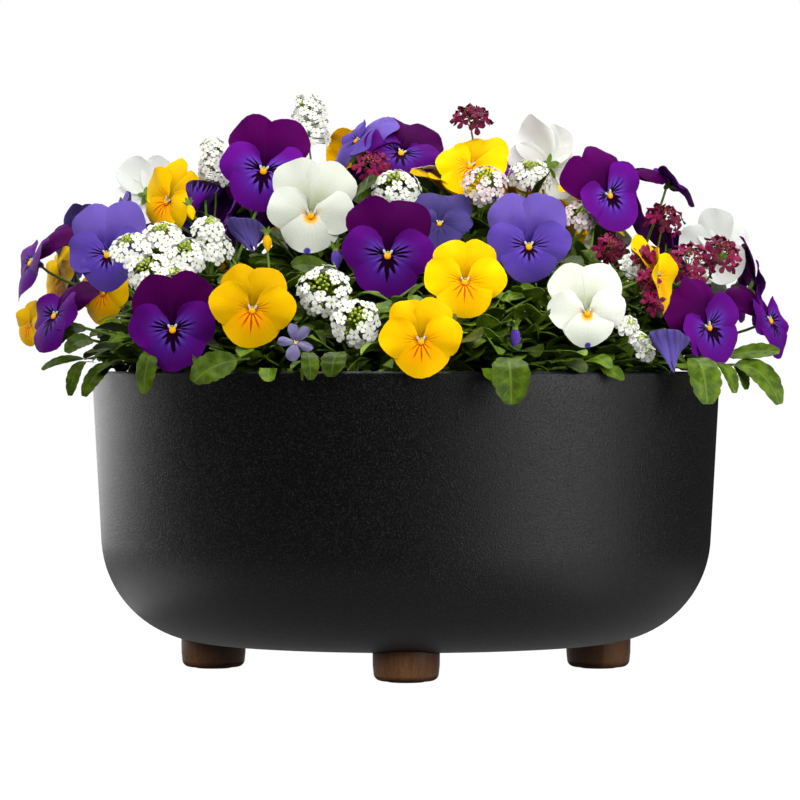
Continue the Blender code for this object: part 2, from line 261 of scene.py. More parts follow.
def icosphere(level):
    """Points and triangles of a unit sphere."""
    golden = (1.0 + math.sqrt(5.0)) / 2.0
    points = [(s, t * golden, 0.0) for t in (1, -1) for s in (-1, 1)]
    points += [(0.0, s, t * golden) for t in (1, -1) for s in (-1, 1)]
    points += [(t * golden, 0.0, s) for t in (1, -1) for s in (-1, 1)]
    points = unit(points)
    gaps = np.linalg.norm(points[:, None] - points[None], axis=2)
    near = gaps < gaps[gaps > 0.1].min() * 1.1
    faces = []
    for i in range(12):
        for j in range(i + 1, 12):
            for k in range(j + 1, 12):
                if near[i, j] and near[j, k] and near[i, k]:
                    outward = np.dot(np.cross(points[j] - points[i], points[k] - points[i]), points[i])
                    faces.append((i, j, k) if outward > 0 else (i, k, j))
    points = list(points)
    for _ in range(level):
        middle, finer = {}, []
        for face in faces:
            halves = []
            for a, b in zip(face, face[1:] + face[:1]):
                key = (min(a, b), max(a, b))
                if key not in middle:
                    middle[key] = len(points)
                    points.append(unit(points[a] + points[b]))
                halves.append(middle[key])
            finer += [(face[0], halves[0], halves[2]), (face[1], halves[1], halves[0])]
            finer += [(face[2], halves[2], halves[1]), tuple(halves)]
        faces = finer
    return np.array(points), np.array(faces)


BALL = icosphere(1)
LOW_BALL = icosphere(0)


def add_grain(build, matrix, radii, material, ball, tint):
    """An ellipsoid with its own axes in a matrix."""
    points = transform(matrix, ball[0] * np.asarray(radii))
    build.add(points, ball[1], material, marks_of(len(points), 0.0, 0.0, LEAF, tint))


def transform(matrix, points):
    """Points (..., 3) moved by a 4x4 matrix."""
    matrix = np.array(matrix)
    return points @ matrix[:3, :3].T + matrix[:3, 3]


def moved(matrix, x, y, z):
    """The matrix moved along its own axes."""
    return matrix @ Matrix.Translation((x, y, z))


def bezier(a, b, c, d, count):
    """Points of a cubic curve."""
    t = np.linspace(0.0, 1.0, count)[:, None]
    a, b, c, d = (np.asarray(point, float) for point in (a, b, c, d))
    return a * (1 - t) ** 3 + 3 * b * t * (1 - t) ** 2 + 3 * c * t ** 2 * (1 - t) + d * t ** 3


def turned_points(profile, steps):
    """A profile of (radius, z) turned about Z: rows of points round the axis."""
    profile = np.asarray(profile, float)
    turn = np.arange(steps) * (math.tau / steps)
    x = profile[:, 0, None] * np.cos(turn)
    y = profile[:, 0, None] * np.sin(turn)
    z = np.broadcast_to(profile[:, 1, None], x.shape)
    return np.stack((x, y, z), axis=-1)


def arc(centre_r, centre_z, radius, start, end, steps):
    """Points of an arc in the turning plane, with angles in degrees from +X."""
    angles = np.radians(np.linspace(start, end, steps + 1))
    return [(centre_r + radius * math.cos(a), centre_z + radius * math.sin(a)) for a in angles]


# Materials

SOCKETS = {
    "metallic": "Metallic",
    "specular": "Specular IOR Level",
    "sheen": "Sheen Weight",
    "sheen_roughness": "Sheen Roughness",
    "sheen_tint": "Sheen Tint",
    "subsurface": "Subsurface Weight",
    "subsurface_radius": "Subsurface Radius",
    "subsurface_scale": "Subsurface Scale",
    "glow": "Emission Strength",
}
MATERIALS = {}


class Shade:
    """A procedural material in the making, on one Principled shader."""

    def __init__(self, name, roughness, **sockets):
        self.material = bpy.data.materials.new("look_" + name)
        MATERIALS[name] = self.material
        self.material.use_nodes = True
        self.tree = self.material.node_tree
        self.shader = self.tree.nodes["Principled BSDF"]
        self.shader.inputs["Roughness"].default_value = roughness
        for socket, value in sockets.items():
            self.put(self.shader.inputs[SOCKETS[socket]], value)

    def node(self, kind, **settings):
        node = self.tree.nodes.new(kind)
        for key, value in settings.items():
            setattr(node, key, value)
        return node

    def put(self, socket, value):
        if isinstance(value, bpy.types.NodeSocket):
            self.tree.links.new(value, socket)
        elif socket.type == "RGBA":
            socket.default_value = (*value, 1.0)
        else:
            socket.default_value = value

    def colour(self, value):
        self.put(self.shader.inputs["Base Color"], value)

    def math(self, operation, a, b=0.0):
        node = self.node("ShaderNodeMath", operation=operation)
        self.put(node.inputs[0], a)
        self.put(node.inputs[1], b)
        return node.outputs[0]

    def step(self, value, low, high, start=0.0, end=1.0):
        """From start to end as value goes from low to high, smoothly."""
        node = self.node("ShaderNodeMapRange", interpolation_type="SMOOTHSTEP")
        for socket, given in zip(node.inputs[:5], (value, low, high, start, end)):
            self.put(socket, given)
        return node.outputs["Result"]

    def mix(self, share, a, b):
        node = self.node("ShaderNodeMix", data_type="RGBA")
        self.put(node.inputs[0], share)
        self.put(node.inputs[6], a)
        self.put(node.inputs[7], b)
        return node.outputs[2]

    def mark(self, name):
        return self.node("ShaderNodeAttribute", attribute_name=name).outputs["Fac"]

    def noise(self, scale, detail, stretch=(1.0, 1.0, 1.0)):
        """Noise in the object's own space, with scale in cycles per metre."""
        place = self.node("ShaderNodeTexCoord").outputs["Object"]
        mapping = self.node("ShaderNodeMapping")
        self.put(mapping.inputs["Vector"], place)
        mapping.inputs["Scale"].default_value = stretch
        noise = self.node("ShaderNodeTexNoise")
        self.put(noise.inputs["Vector"], mapping.outputs["Vector"])
        noise.inputs["Scale"].default_value = scale
        noise.inputs["Detail"].default_value = detail
        return noise.outputs["Fac"]

    def times(self, a, b):
        return self.math("MULTIPLY", a, b)

    def plus(self, a, b):
        return self.math("ADD", a, b)

    def less(self, a, b):
        return self.math("SUBTRACT", a, b)

    def wave(self, value, count):
        """Up from 0 to 0.5 and down again, count times in each unit of the value."""
        return self.math("PINGPONG", self.times(value, count), 0.5)

    def bump(self, height, strength, distance):
        node = self.node("ShaderNodeBump")
        node.inputs["Strength"].default_value = strength
        node.inputs["Distance"].default_value = distance
        self.put(node.inputs["Height"], height)
        self.put(self.shader.inputs["Normal"], node.outputs["Normal"])

    def tinted(self, colour, low, high):
        """A colour made darker or lighter by each piece's own tint."""
        node = self.node("ShaderNodeHueSaturation")
        self.put(node.inputs["Value"], self.step(self.mark("tint"), 0.0, 1.0, low, high))
        self.put(node.inputs["Color"], colour)
        return node.outputs["Color"]


Petal = namedtuple("Petal", "rim heart upper throat lower glow vein reach width count side sheen")
SOFT = {"subsurface": 0.5, "subsurface_radius": (1.0, 1.0, 1.0), "subsurface_scale": 0.5 * MM}


def petal_material(name, look):
    """Colour along the petal, with tapering whiskers that join into a blotch at the blossom's heart."""
    s = Shade(name, 0.6, specular=0.03, sheen=0.20, sheen_roughness=0.45, sheen_tint=look.sheen, **SOFT)
    across, along, part = s.mark("across"), s.mark("along"), s.mark("part")
    upper = s.step(part, 0.4, 0.6, 1.0, 0.0)
    lower = s.step(part, 1.4, 1.6)
    cloud = s.less(s.noise(110.0, 2.0), 0.5)
    place = s.plus(along, s.times(cloud, 0.25))
    colour = s.mix(s.step(place, 0.22, 0.80), look.heart, look.rim)
    colour = s.mix(upper, colour, s.mix(s.step(place, 0.05, 0.75), look.throat, look.upper))
    colour = s.mix(s.times(lower, 0.8), colour, s.mix(s.step(place, 0.30, 0.95), look.lower, look.rim))
    streak = s.plus(across, s.times(cloud, 0.12))
    fine = s.times(s.step(s.wave(streak, 9.0), 0.10, 0.0, 0.0, 0.45), s.step(along, 0.95, 0.35))
    colour = s.mix(fine, colour, look.throat)
    wave = s.wave(streak, look.count)
    glow = s.times(s.step(wave, 0.20, 0.50), s.step(along, 0.18, 0.60, 0.75, 0.0))
    colour = s.mix(s.times(glow, s.less(1.0, upper)), colour, look.glow)
    span = s.less(1.0, s.times(s.times(across, across), 0.75))
    reach = s.times(span, s.plus(look.reach, s.times(cloud, look.reach)))
    reach = s.times(reach, s.step(lower, 0.0, 1.0, look.side, 1.0))
    taper = s.less(1.0, s.math("DIVIDE", along, reach))
    width = s.times(taper, s.step(lower, 0.0, 1.0, 0.72 * look.width, look.width))
    whisker = s.step(wave, s.less(width, 0.10), s.plus(width, 0.04), 1.0, 0.0)
    whisker = s.times(whisker, s.less(1.0, upper))
    colour = s.mix(whisker, colour, look.vein)
    s.colour(s.tinted(colour, 0.70, 1.10))
    s.bump(s.plus(s.wave(streak, 26.0), s.noise(900.0, 2.0)), 0.40, 0.35 * MM)
    return s


def hearted(shade):
    """A soft orange patch round a white blossom's eye, and a blue spot at the edge of its lip."""
    along, part = shade.mark("along"), shade.mark("part")
    lip = shade.step(part, 1.4, 1.6)
    base = shade.shader.inputs["Base Color"].links[0].from_socket
    patch = shade.times(shade.step(along, 0.16, 0.34, 1.0, 0.0), shade.step(lip, 0.0, 1.0, 0.25, 1.0))
    patch = shade.times(patch, shade.step(part, 0.4, 0.6))
    base = shade.mix(patch, base, (0.850, 0.400, 0.004))
    across = shade.times(shade.mark("across"), 1.4)
    edge = shade.less(along, 0.94)
    away = shade.plus(shade.times(across, across), shade.times(edge, edge))
    spot = shade.times(shade.step(away, 0.003, 0.010, 1.0, 0.0), lip)
    shade.colour(shade.mix(spot, base, (0.060, 0.040, 0.350)))


def leaf_material(name, dark, light, rib, roughness):
    """A leaf with a pale midrib, slanting side veins and mottling."""
    s = Shade(name, roughness, specular=0.20, **SOFT)
    across, along = s.mark("across"), s.mark("along")
    away = s.math("ABSOLUTE", across)
    slant = s.less(along, s.times(away, 0.22))
    side_vein = s.times(s.step(s.wave(slant, 6.5), 0.0, 0.12, 1.0, 0.0), s.step(away, 0.45, 0.90, 0.32, 0.0))
    midrib = s.step(away, 0.02, 0.11, 0.65, 0.0)
    ribs = s.math("MAXIMUM", midrib, side_vein)
    colour = s.mix(s.step(s.noise(140.0, 3.0), 0.35, 0.70), dark, light)
    colour = s.mix(ribs, colour, rib)
    s.colour(s.tinted(colour, 0.40, 1.60))
    s.bump(s.less(s.times(s.noise(700.0, 2.0), 0.7), ribs), 0.40, 0.35 * MM)


def simple_material(name, dark, light, scale, roughness, bump=0.2, low=0.9, high=1.1, **sockets):
    """Two tones of one colour, mottled, for small pieces."""
    s = Shade(name, roughness, **{"specular": 0.3, **sockets})
    mottle = s.noise(scale, 3.0)
    s.colour(s.tinted(s.mix(s.step(mottle, 0.3, 0.7), dark, light), low, high))
    s.bump(mottle, bump, 0.3 * MM)


# Each kind of petal's colours, then its whiskers: how far they reach along it, how wide and how many they
# are, how far they reach on the side petals, and the tint of its sheen
PETALS = {
    "purple": Petal(
        rim=(0.1, 0.004, 0.19), heart=(0.092, 0.024, 0.33), upper=(0.06, 0.0005, 0.062),
        throat=(0.018, 0.0005, 0.024), lower=(0.07, 0.015, 0.26), glow=(0.17, 0.1, 0.5),
        vein=(0.009, 0.0004, 0.01), reach=0.58, width=1.15, count=3.5, side=0.95,
        sheen=(0.36, 0.03, 0.52)
    ),
    "blue": Petal(
        rim=(0.092, 0.05, 0.31), heart=(0.07, 0.03, 0.27), upper=(0.12, 0.074, 0.335),
        throat=(0.036, 0.013, 0.17), lower=(0.075, 0.034, 0.31), glow=(0.17, 0.11, 0.5),
        vein=(0.012, 0.001, 0.016), reach=0.48, width=1.05, count=3.5, side=0.9,
        sheen=(0.45, 0.35, 0.85)
    ),
    "yellow": Petal(
        rim=(0.84, 0.49, 0.001), heart=(0.82, 0.42, 0.001), upper=(0.74, 0.42, 0.001),
        throat=(0.46, 0.23, 0.001), lower=(0.86, 0.3, 0.001), glow=(0.86, 0.43, 0.002),
        vein=(0.5, 0.065, 0.001), reach=0.62, width=0.42, count=3.5, side=0.8, sheen=(0.9, 0.6, 0.05)
    ),
    "white": Petal(
        rim=(0.64, 0.66, 0.59), heart=(0.6, 0.625, 0.53), upper=(0.58, 0.6, 0.52),
        throat=(0.4, 0.44, 0.27), lower=(0.66, 0.68, 0.6), glow=(0.68, 0.7, 0.62), vein=(0.38, 0.4, 0.3),
        reach=0.3, width=0.35, count=3.5, side=0.9, sheen=(0.8, 0.85, 0.75)
    ),
    # Painted light: a lighter copy of the white petals, for white blossoms seen from behind, that stands in
    # for light shining through them
    "pale": Petal(
        rim=(0.85, 0.87, 0.84), heart=(0.81, 0.84, 0.79), upper=(0.83, 0.85, 0.82),
        throat=(0.7, 0.73, 0.58), lower=(0.84, 0.85, 0.78), glow=(0.86, 0.87, 0.8),
        vein=(0.38, 0.4, 0.3), reach=0.3, width=0.35, count=3.5, side=0.9, sheen=(0.8, 0.85, 0.75)
    ),
    "faded": Petal(
        rim=(0.09, 0.065, 0.27), heart=(0.05, 0.034, 0.15), upper=(0.07, 0.05, 0.21),
        throat=(0.036, 0.026, 0.11), lower=(0.062, 0.044, 0.19), glow=(0.064, 0.046, 0.19),
        vein=(0.026, 0.018, 0.08), reach=0.7, width=0.3, count=3.0, side=1.0, sheen=(0.45, 0.4, 0.7)
    ),
    "lavender": Petal(
        rim=(0.21, 0.19, 0.36), heart=(0.3, 0.27, 0.42), upper=(0.17, 0.155, 0.3),
        throat=(0.1, 0.08, 0.19), lower=(0.26, 0.23, 0.42), glow=(0.4, 0.37, 0.5),
        vein=(0.06, 0.04, 0.16), reach=0.6, width=0.3, count=3.0, side=0.9, sheen=(0.6, 0.55, 0.8)
    ),
}
# Painted light: the pale petals glow this much, in place of light shining through white petals seen from
# behind
PAINTED_BACKLIGHT_GLOW = 0.17

# Dark, light and midrib colours, and roughness
LEAVES = {
    "leaf_pansy": ((0.04, 0.078, 0.003), (0.105, 0.172, 0.008), (0.15, 0.22, 0.03), 0.45),
    "leaf_narrow": ((0.052, 0.092, 0.006), (0.125, 0.195, 0.018), (0.16, 0.23, 0.045), 0.5),
}

# Dark and light colour, mottling in cycles per metre, roughness, and settings of their own
MOTTLED = {
    "stem_green": ((0.07, 0.14, 0.012), (0.15, 0.22, 0.03), 300.0, 0.5, {}),
    # The white florets' glow is painted light that lifts their shaded sides
    "floret_white": ((0.64, 0.65, 0.59), (0.78, 0.78, 0.74), 500.0, 0.6, {"low": 0.8, "glow": 0.1}),
    "floret_pink": ((0.6, 0.46, 0.52), (0.78, 0.68, 0.68), 500.0, 0.6, {}),
    "floret_wine": ((0.085, 0.002, 0.022), (0.24, 0.007, 0.065), 500.0, 0.6, {"low": 0.5, "high": 1.3}),
    "floret_heart": ((0.3, 0.33, 0.03), (0.48, 0.44, 0.05), 900.0, 0.6, {}),
    "bud_green": ((0.23, 0.35, 0.02), (0.45, 0.5, 0.06), 900.0, 0.5, {}),
    "bud_wine": ((0.12, 0.003, 0.03), (0.3, 0.06, 0.06), 900.0, 0.5, {}),
    "eye_yellow": ((0.85, 0.28, 0.003), (0.95, 0.48, 0.01), 1500.0, 0.5, {}),
    "eye_white": ((0.34, 0.34, 0.4), (0.6, 0.6, 0.58), 2500.0, 0.8, {"bump": 0.8}),
    "rubber": ((0.012, 0.012, 0.012), (0.022, 0.022, 0.022), 1200.0, 0.75, {"bump": 0.3}),
    "brass": ((0.52, 0.34, 0.12), (0.68, 0.48, 0.2), 700.0, 0.32, {"metallic": 1.0}),
    "zinc_steel": ((0.42, 0.43, 0.44), (0.62, 0.63, 0.64), 500.0, 0.34, {"metallic": 1.0}),
    "liner_plastic": ((0.014, 0.014, 0.015), (0.022, 0.022, 0.023), 800.0, 0.48, {"bump": 0.15}),
    "perlite": ((0.62, 0.6, 0.56), (0.78, 0.77, 0.73), 900.0, 0.85, {}),
}


def make_materials():
    petals = {name: petal_material("petal_" + name, look) for name, look in PETALS.items()}
    hearted(petals["white"])
    # The pale petals are painted light: a lighter copy of the white ones that also glows, for blossoms seen
    # from behind
    pale = petals["pale"]
    pale.put(pale.shader.inputs["Emission Color"], (1.0, 1.0, 0.97))
    pale.put(pale.shader.inputs["Emission Strength"], PAINTED_BACKLIGHT_GLOW)
    for name, row in LEAVES.items():
        leaf_material(name, *row)
    for name, (*row, settings) in MOTTLED.items():
        simple_material(name, *row, **settings)

    coat = Shade("powder_coat", 0.45, specular=0.42)
    grain = coat.noise(800.0, 3.0)
    fleck = coat.step(coat.noise(1100.0, 1.0), 0.54, 0.72)
    coat.colour(coat.mix(fleck, (0.001, 0.001, 0.0012), (0.011, 0.011, 0.0115)))
    coat.bump(coat.plus(grain, coat.times(fleck, 0.6)), 1.0, 0.29 * MM)

    walnut = Shade("walnut", 0.34, specular=0.22)
    figure = walnut.noise(60.0, 4.0, stretch=(1.0, 1.0, 0.12))
    pores = walnut.step(walnut.noise(900.0, 2.0, stretch=(1.0, 1.0, 0.1)), 0.5, 0.62)
    wood = walnut.mix(walnut.step(figure, 0.32, 0.68), (0.082, 0.034, 0.013), (0.185, 0.082, 0.034))
    speck = walnut.step(walnut.noise(1300.0, 1.0), 0.62, 0.72)
    wood = walnut.mix(walnut.times(pores, 0.3), wood, (0.03, 0.012, 0.005))
    walnut.colour(walnut.mix(walnut.times(speck, 0.35), wood, (0.32, 0.18, 0.1)))
    walnut.bump(walnut.less(figure, walnut.times(pores, 0.6)), 0.2, 0.3 * MM)

    soil = Shade("potting_soil", 0.95)
    lumps = soil.noise(220.0, 6.0)
    earth = soil.mix(soil.step(lumps, 0.35, 0.65), (0.01, 0.006, 0.004), (0.055, 0.032, 0.018))
    soil.colour(soil.tinted(earth, 0.6, 1.5))
    soil.bump(lumps, 0.9, 1.0 * MM)


# The planter

def wall_radius(z):
    return RIM_RADIUS - WALL_SLOPE * (RIM_Z - z)


def bowl_side(offset, top_z, bottom_z, fillet, steps):
    """The bowl's side set in by offset, from top_z round the fillet to the flat floor at bottom_z."""
    lean = math.atan(WALL_SLOPE)
    centre_z = bottom_z + fillet
    centre_r = wall_radius(centre_z) - (offset + fillet) / math.cos(lean)
    wall = [
        (wall_radius(z) - offset / math.cos(lean), z)
        for z in np.linspace(top_z, centre_z, 8)[:-1]
    ]
    return wall + arc(centre_r, centre_z, fillet, -math.degrees(lean), -90.0, steps)


def underside(radius):
    """Height of the bowl's outer surface, from its flat floor out into the fillet."""
    lean = math.atan(WALL_SLOPE)
    centre_z = FLOOR_Z + BASE_FILLET
    start = wall_radius(centre_z) - BASE_FILLET / math.cos(lean)
    out = np.clip(radius - start, 0.0, BASE_FILLET * 0.9)
    return centre_z - np.sqrt(BASE_FILLET ** 2 - out ** 2)


def closed_turning(name, profile, steps, material):
    """A turned piece from a closed profile that runs down its outer side."""
    build = Build()
    grid = turned_points(profile + profile[:1], steps)[:-1]
    count = len(profile)
    faces = grid_faces(count, steps, wrap=True)
    last = grid_faces(2, steps, wrap=True)
    last = np.where(last >= steps, last - steps, last + (count - 1) * steps)
    build.add(grid.reshape(-1, 3), np.concatenate((faces, last)), material, marks_of(count * steps))
    return build.make(name, TURNED_SHARP)


def make_bowl():
    """The bowl with its rolled bead, finer than its CAD solid and of the same sizes."""
    bead_z = RIM_Z - BEAD_RADIUS
    outer = bowl_side(0.0, bead_z, FLOOR_Z, BASE_FILLET, 28)
    floor = [(r, FLOOR_Z) for r in FLOOR_RINGS[::-1]]
    inside = [(r, FLOOR_Z + WALL) for r in FLOOR_RINGS]
    inner = bowl_side(WALL, bead_z - BEAD_NECK, FLOOR_Z + WALL, BASE_FILLET - WALL, 20)
    bead_centre = wall_radius(bead_z) - BEAD_RADIUS
    neck = [(bead_centre - BEAD_RADIUS, bead_z - BEAD_RADIUS)]
    bead = arc(bead_centre, bead_z, BEAD_RADIUS, 180.0, 0.0, 10)[:-1]
    profile = outer + floor + inside + inner[::-1] + neck + bead
    bowl = closed_turning("pot_bowl", profile, BOWL_STEPS, "powder_coat")
    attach(bowl, "planter")
    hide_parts("pot_shell")


def make_foot(place):
    """A turned foot with a rounded bottom edge, its top coped to the bowl's underside."""
    node = "foot_" + place
    low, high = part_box(node)
    centre = (low + high) / 2
    edge_centre = FOOT_BOTTOM_RADIUS - FOOT_EDGE_RADIUS
    edge = arc(edge_centre, low.z + FOOT_EDGE_RADIUS, FOOT_EDGE_RADIUS, 0.0, -90.0, 10)
    recess = [(PAD_RADIUS + FOOT_GAP, low.z), (PAD_RADIUS + FOOT_GAP, low.z + PAD_RECESS)]
    top_radii = (POLE_RADIUS, 0.5 * FOOT_TOP_RADIUS, 0.8 * FOOT_TOP_RADIUS, FOOT_TOP_RADIUS - 0.5 * MM)
    top = [(r, high.z) for r in top_radii]
    side = [(FOOT_TOP_RADIUS, high.z), (FOOT_TOP_RADIUS - 0.1 * MM, (high.z + low.z) / 2)]
    profile = top + side + edge + recess + [(POLE_RADIUS, low.z + PAD_RECESS)]
    grid = turned_points(profile, FOOT_STEPS)
    grid[..., 0] += centre.x
    grid[..., 1] += centre.y
    ceiling = underside(np.hypot(grid[..., 0], grid[..., 1])) - FOOT_GAP
    rows = len(top) + 1
    grid[:rows, :, 2] = ceiling[:rows]
    build = Build()
    build.add_turning(grid, "walnut")
    foot = build.make("turned_" + node, TURNED_SHARP)
    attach(foot, "planter")
    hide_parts(node)


def dress_cad_nodes():
    """Procedural materials for the CAD nodes that show as they are."""
    looks = (
        ("foot_pad_", "rubber"), ("seal_washer_", "rubber"), ("drain_plug", "rubber"),
        ("threaded_insert_", "brass"), ("foot_bolt_", "zinc_steel"), ("bolt_washer_", "zinc_steel"),
        ("grow_liner", "liner_plastic"),
    )
    for name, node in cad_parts.items():
        for start, material in looks:
            if name.startswith(start):
                node.data.materials.clear()
                node.data.materials.append(MATERIALS[material])


def make_soil(rng):
    """The domed soil with crumbs of bark and perlite on it, filling the liner."""
    low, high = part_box("soil")
    edge_z = high.z - SOIL_RISE
    edge = wall_radius(edge_z) - SOIL_OFFSET
    radii = np.linspace(SOIL_POLE, edge, 40)
    crown = edge_z + SOIL_RISE * (1.0 - (radii / edge) ** 2)
    grid = turned_points(list(zip(radii, crown)), SOIL_STEPS)
    x, y = grid[..., 0], grid[..., 1]
    waves = sum(
        np.sin(x * k + a) * np.cos(y * k * 1.13 + b) / n
        for n, (k, a, b) in enumerate(SOIL_WAVES, 1)
    )
    grid[..., 2] += 1.2 * MM * waves * (1.0 - (radii / edge) ** 8)[:, None]
    floor_z = low.z + 0.4 * MM
    skirt = bowl_side(SOIL_OFFSET, edge_z - MM, floor_z, SOIL_FILLET, 10)
    points = np.concatenate((grid, turned_points(skirt + [(SOIL_POLE, floor_z)], SOIL_STEPS)))
    build = Build()
    build.add_turning(points, "potting_soil")
    for i in range(CRUMBS):
        radius = edge * 0.97 * math.sqrt(rng.random())
        turn = rng.random() * math.tau
        size = rng.uniform(0.9, 3.2) * MM
        z = high.z - SOIL_RISE * (radius / edge) ** 2
        place = Matrix.Translation((radius * math.cos(turn), radius * math.sin(turn), z))
        spin = Matrix.Rotation(rng.random() * math.tau, 4, Vector(unit(rng.normal(size=3))))
        radii = size * rng.uniform((1.0, 0.6, 0.4), (1.6, 1.0, 0.8))
        material = "perlite" if i % PERLITE_EVERY == 0 else "potting_soil"
        add_grain(build, place @ spin, radii, material, LOW_BALL, rng.random())
    soil = build.make("soil_bed", SMOOTH)
    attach(soil, "planting")
    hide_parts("soil")


# Flowers

# One petal's form: part, heading from the top, length, half-spread in degrees, fullness of its outline,
# layer from front to back and bend backwards
PetalForm = namedtuple("PetalForm", "part heading length spread fullness layer bend")
PANSY = (
    PetalForm(UPPER, -27.0, 1.44, 50.0, 0.42, 0.085, 0.10),
    PetalForm(UPPER, 27.0, 1.44, 50.0, 0.42, 0.060, 0.10),
    PetalForm(SIDE, -80.0, 1.06, 58.0, 0.40, 0.030, -0.04),
    PetalForm(SIDE, 80.0, 1.06, 58.0, 0.40, 0.015, -0.04),
    PetalForm(LOWER, 180.0, 1.00, 96.0, 0.27, -0.015, 0.06),
)


def with_lengths(upper, lower):
    """The pansy's form with other lengths for its upper petals and its lip."""
    lengths = {UPPER: upper, SIDE: 1.06, LOWER: lower}
    return tuple(form._replace(length=lengths[form.part]) for form in PANSY)


FORMS = {
    "purple": PANSY,
    "blue": with_lengths(1.44, 0.92),
    "yellow": with_lengths(1.18, 0.94),
    "white": with_lengths(1.46, 0.92),
    "pale": with_lengths(1.44, 0.90),
    "faded": PANSY,
}
VIOLA = (
    PetalForm(UPPER, -24.0, 1.10, 30.0, 0.50, 0.06, 0.10),
    PetalForm(UPPER, 24.0, 1.10, 30.0, 0.50, 0.04, 0.10),
    PetalForm(SIDE, -98.0, 0.95, 30.0, 0.50, 0.02, 0.00),
    PetalForm(SIDE, 98.0, 0.95, 30.0, 0.50, 0.01, 0.00),
    PetalForm(LOWER, 180.0, 1.00, 42.0, 0.42, -0.01, 0.05),
)
PETAL_ROWS, PETAL_COLUMNS = 12, 17
PETAL_CLAW = 0.05
PETAL_THICKNESS = 0.35 * MM
SEPAL_THICKNESS = 0.4 * MM
SEPALS = 5
FURLED_PETALS = 4
FURL_GIRTH = (0.35, 0.98, 0.92, 0.66, 0.38, 0.18)
OUTLINE_TURN = 0.94 * math.pi / 2


def add_petal(build, form, size, closing, matrix, material, tint, rng):
    """One ruffled petal; closing, in degrees, arches it forward about the blossom's heart."""
    across = np.linspace(-1.0, 1.0, PETAL_COLUMNS)[None, :]
    along = np.linspace(PETAL_CLAW, 1.0, PETAL_ROWS)[:, None] ** 0.9
    outline = np.cos(across * OUTLINE_TURN) ** form.fullness
    phase = rng.uniform(0.0, math.tau, 3)
    margin = 1.0 + 0.022 * along ** 4 * np.sin(across * 8.5 + phase[0])
    reach = form.length * size * along * outline * margin
    turn = np.radians(form.heading + across * form.spread * (0.82 + 0.18 * along))
    ruffle = 0.075 * along ** 3 * np.sin(across * 5.2 + phase[1])
    ruffle = ruffle + 0.028 * along ** 4 * np.sin(across * 11.0 + phase[2])
    crown = form.bend * (along * outline) ** 2 - 0.09 * np.sin(along * math.pi) * (1 - across ** 2)
    throat = 0.10 * np.exp(-((along / 0.16) ** 2))
    depth = size * (form.layer + crown + ruffle + throat)
    arch = math.radians(2.0 * closing) * along * outline + 1e-6
    out = reach * np.sin(arch) / arch + depth * np.sin(arch)
    back = depth * np.cos(arch) - reach * (1.0 - np.cos(arch)) / arch
    grid = np.stack((out * np.sin(turn), back, out * np.cos(turn)), axis=-1)
    grid = transform(matrix, grid)
    add_sheet(build, grid, PETAL_THICKNESS, material, across, along, form.part, tint)


def add_sepals(build, matrix, size, lean, rng, length=0.42):
    """Narrow green sepals round the blossom's back, with their tips leaning outwards."""
    across = np.linspace(-1.0, 1.0, 3)[None, :]
    along = np.linspace(0.0, 1.0, 6)[:, None]
    width = 0.085 * size * np.sin(np.clip(along * 0.96 + 0.04, 0.0, 1.0) * math.pi) ** 0.7 + 0.1 * MM
    reach = length * size
    for i in range(SEPALS):
        spin = math.tau * (i + 0.2 * rng.random()) / SEPALS
        out = reach * along * math.sin(lean)
        back = reach * (0.10 - along * math.cos(lean)) + reach * 0.25 * along ** 2
        grid = np.stack(np.broadcast_arrays(across * width, back + 0.0 * across, out), axis=-1)
        turned = matrix @ Matrix.Rotation(spin, 4, "Y")
        add_sheet(build, transform(turned, grid), SEPAL_THICKNESS, "stem_green", across, along, LEAF,
                  rng.random())


def add_blossom(plant, flower, size, matrix, material, tint, rng):
    """A pansy: five petals, the eye, sepals behind and a stem from the plant's crown."""
    for petal in FORMS.get(flower.colour, VIOLA):
        folded = -flower.recurve if petal.part == UPPER else flower.closing
        add_petal(plant, petal, size, folded, matrix, material, tint, rng)
    for side in (-1.0, 1.0):
        tuft = moved(matrix, side * 0.075 * size, -0.02 * size, 0.055 * size)
        tuft = tuft @ Matrix.Rotation(math.radians(side * 28.0), 4, "Y")
        add_grain(plant, tuft, np.array((0.032, 0.028, 0.064)) * size, "eye_white", BALL, 0.5)
    lip = moved(matrix, 0.0, -0.03 * size, -0.035 * size)
    add_grain(plant, lip, np.array((0.084, 0.052, 0.088)) * size, "eye_yellow", BALL, 0.6)
    stigma = moved(matrix, 0.0, -0.05 * size, 0.050 * size)
    add_grain(plant, stigma, np.array((0.034, 0.034, 0.036)) * size, "bud_green", LOW_BALL, 0.5)
    add_calyx(plant, size, matrix, rng)


def add_calyx(plant, size, matrix, rng):
    """The sepals behind a blossom, the knob between them and the stem."""
    neck = moved(matrix, 0.0, 0.20 * size, 0.02 * size)
    add_sepals(plant, neck, size, math.radians(50.0), rng)
    add_grain(plant, neck, np.array((0.085, 0.13, 0.085)) * size, "stem_green", BALL, 0.5)
    add_stem(plant, matrix, size, rng)


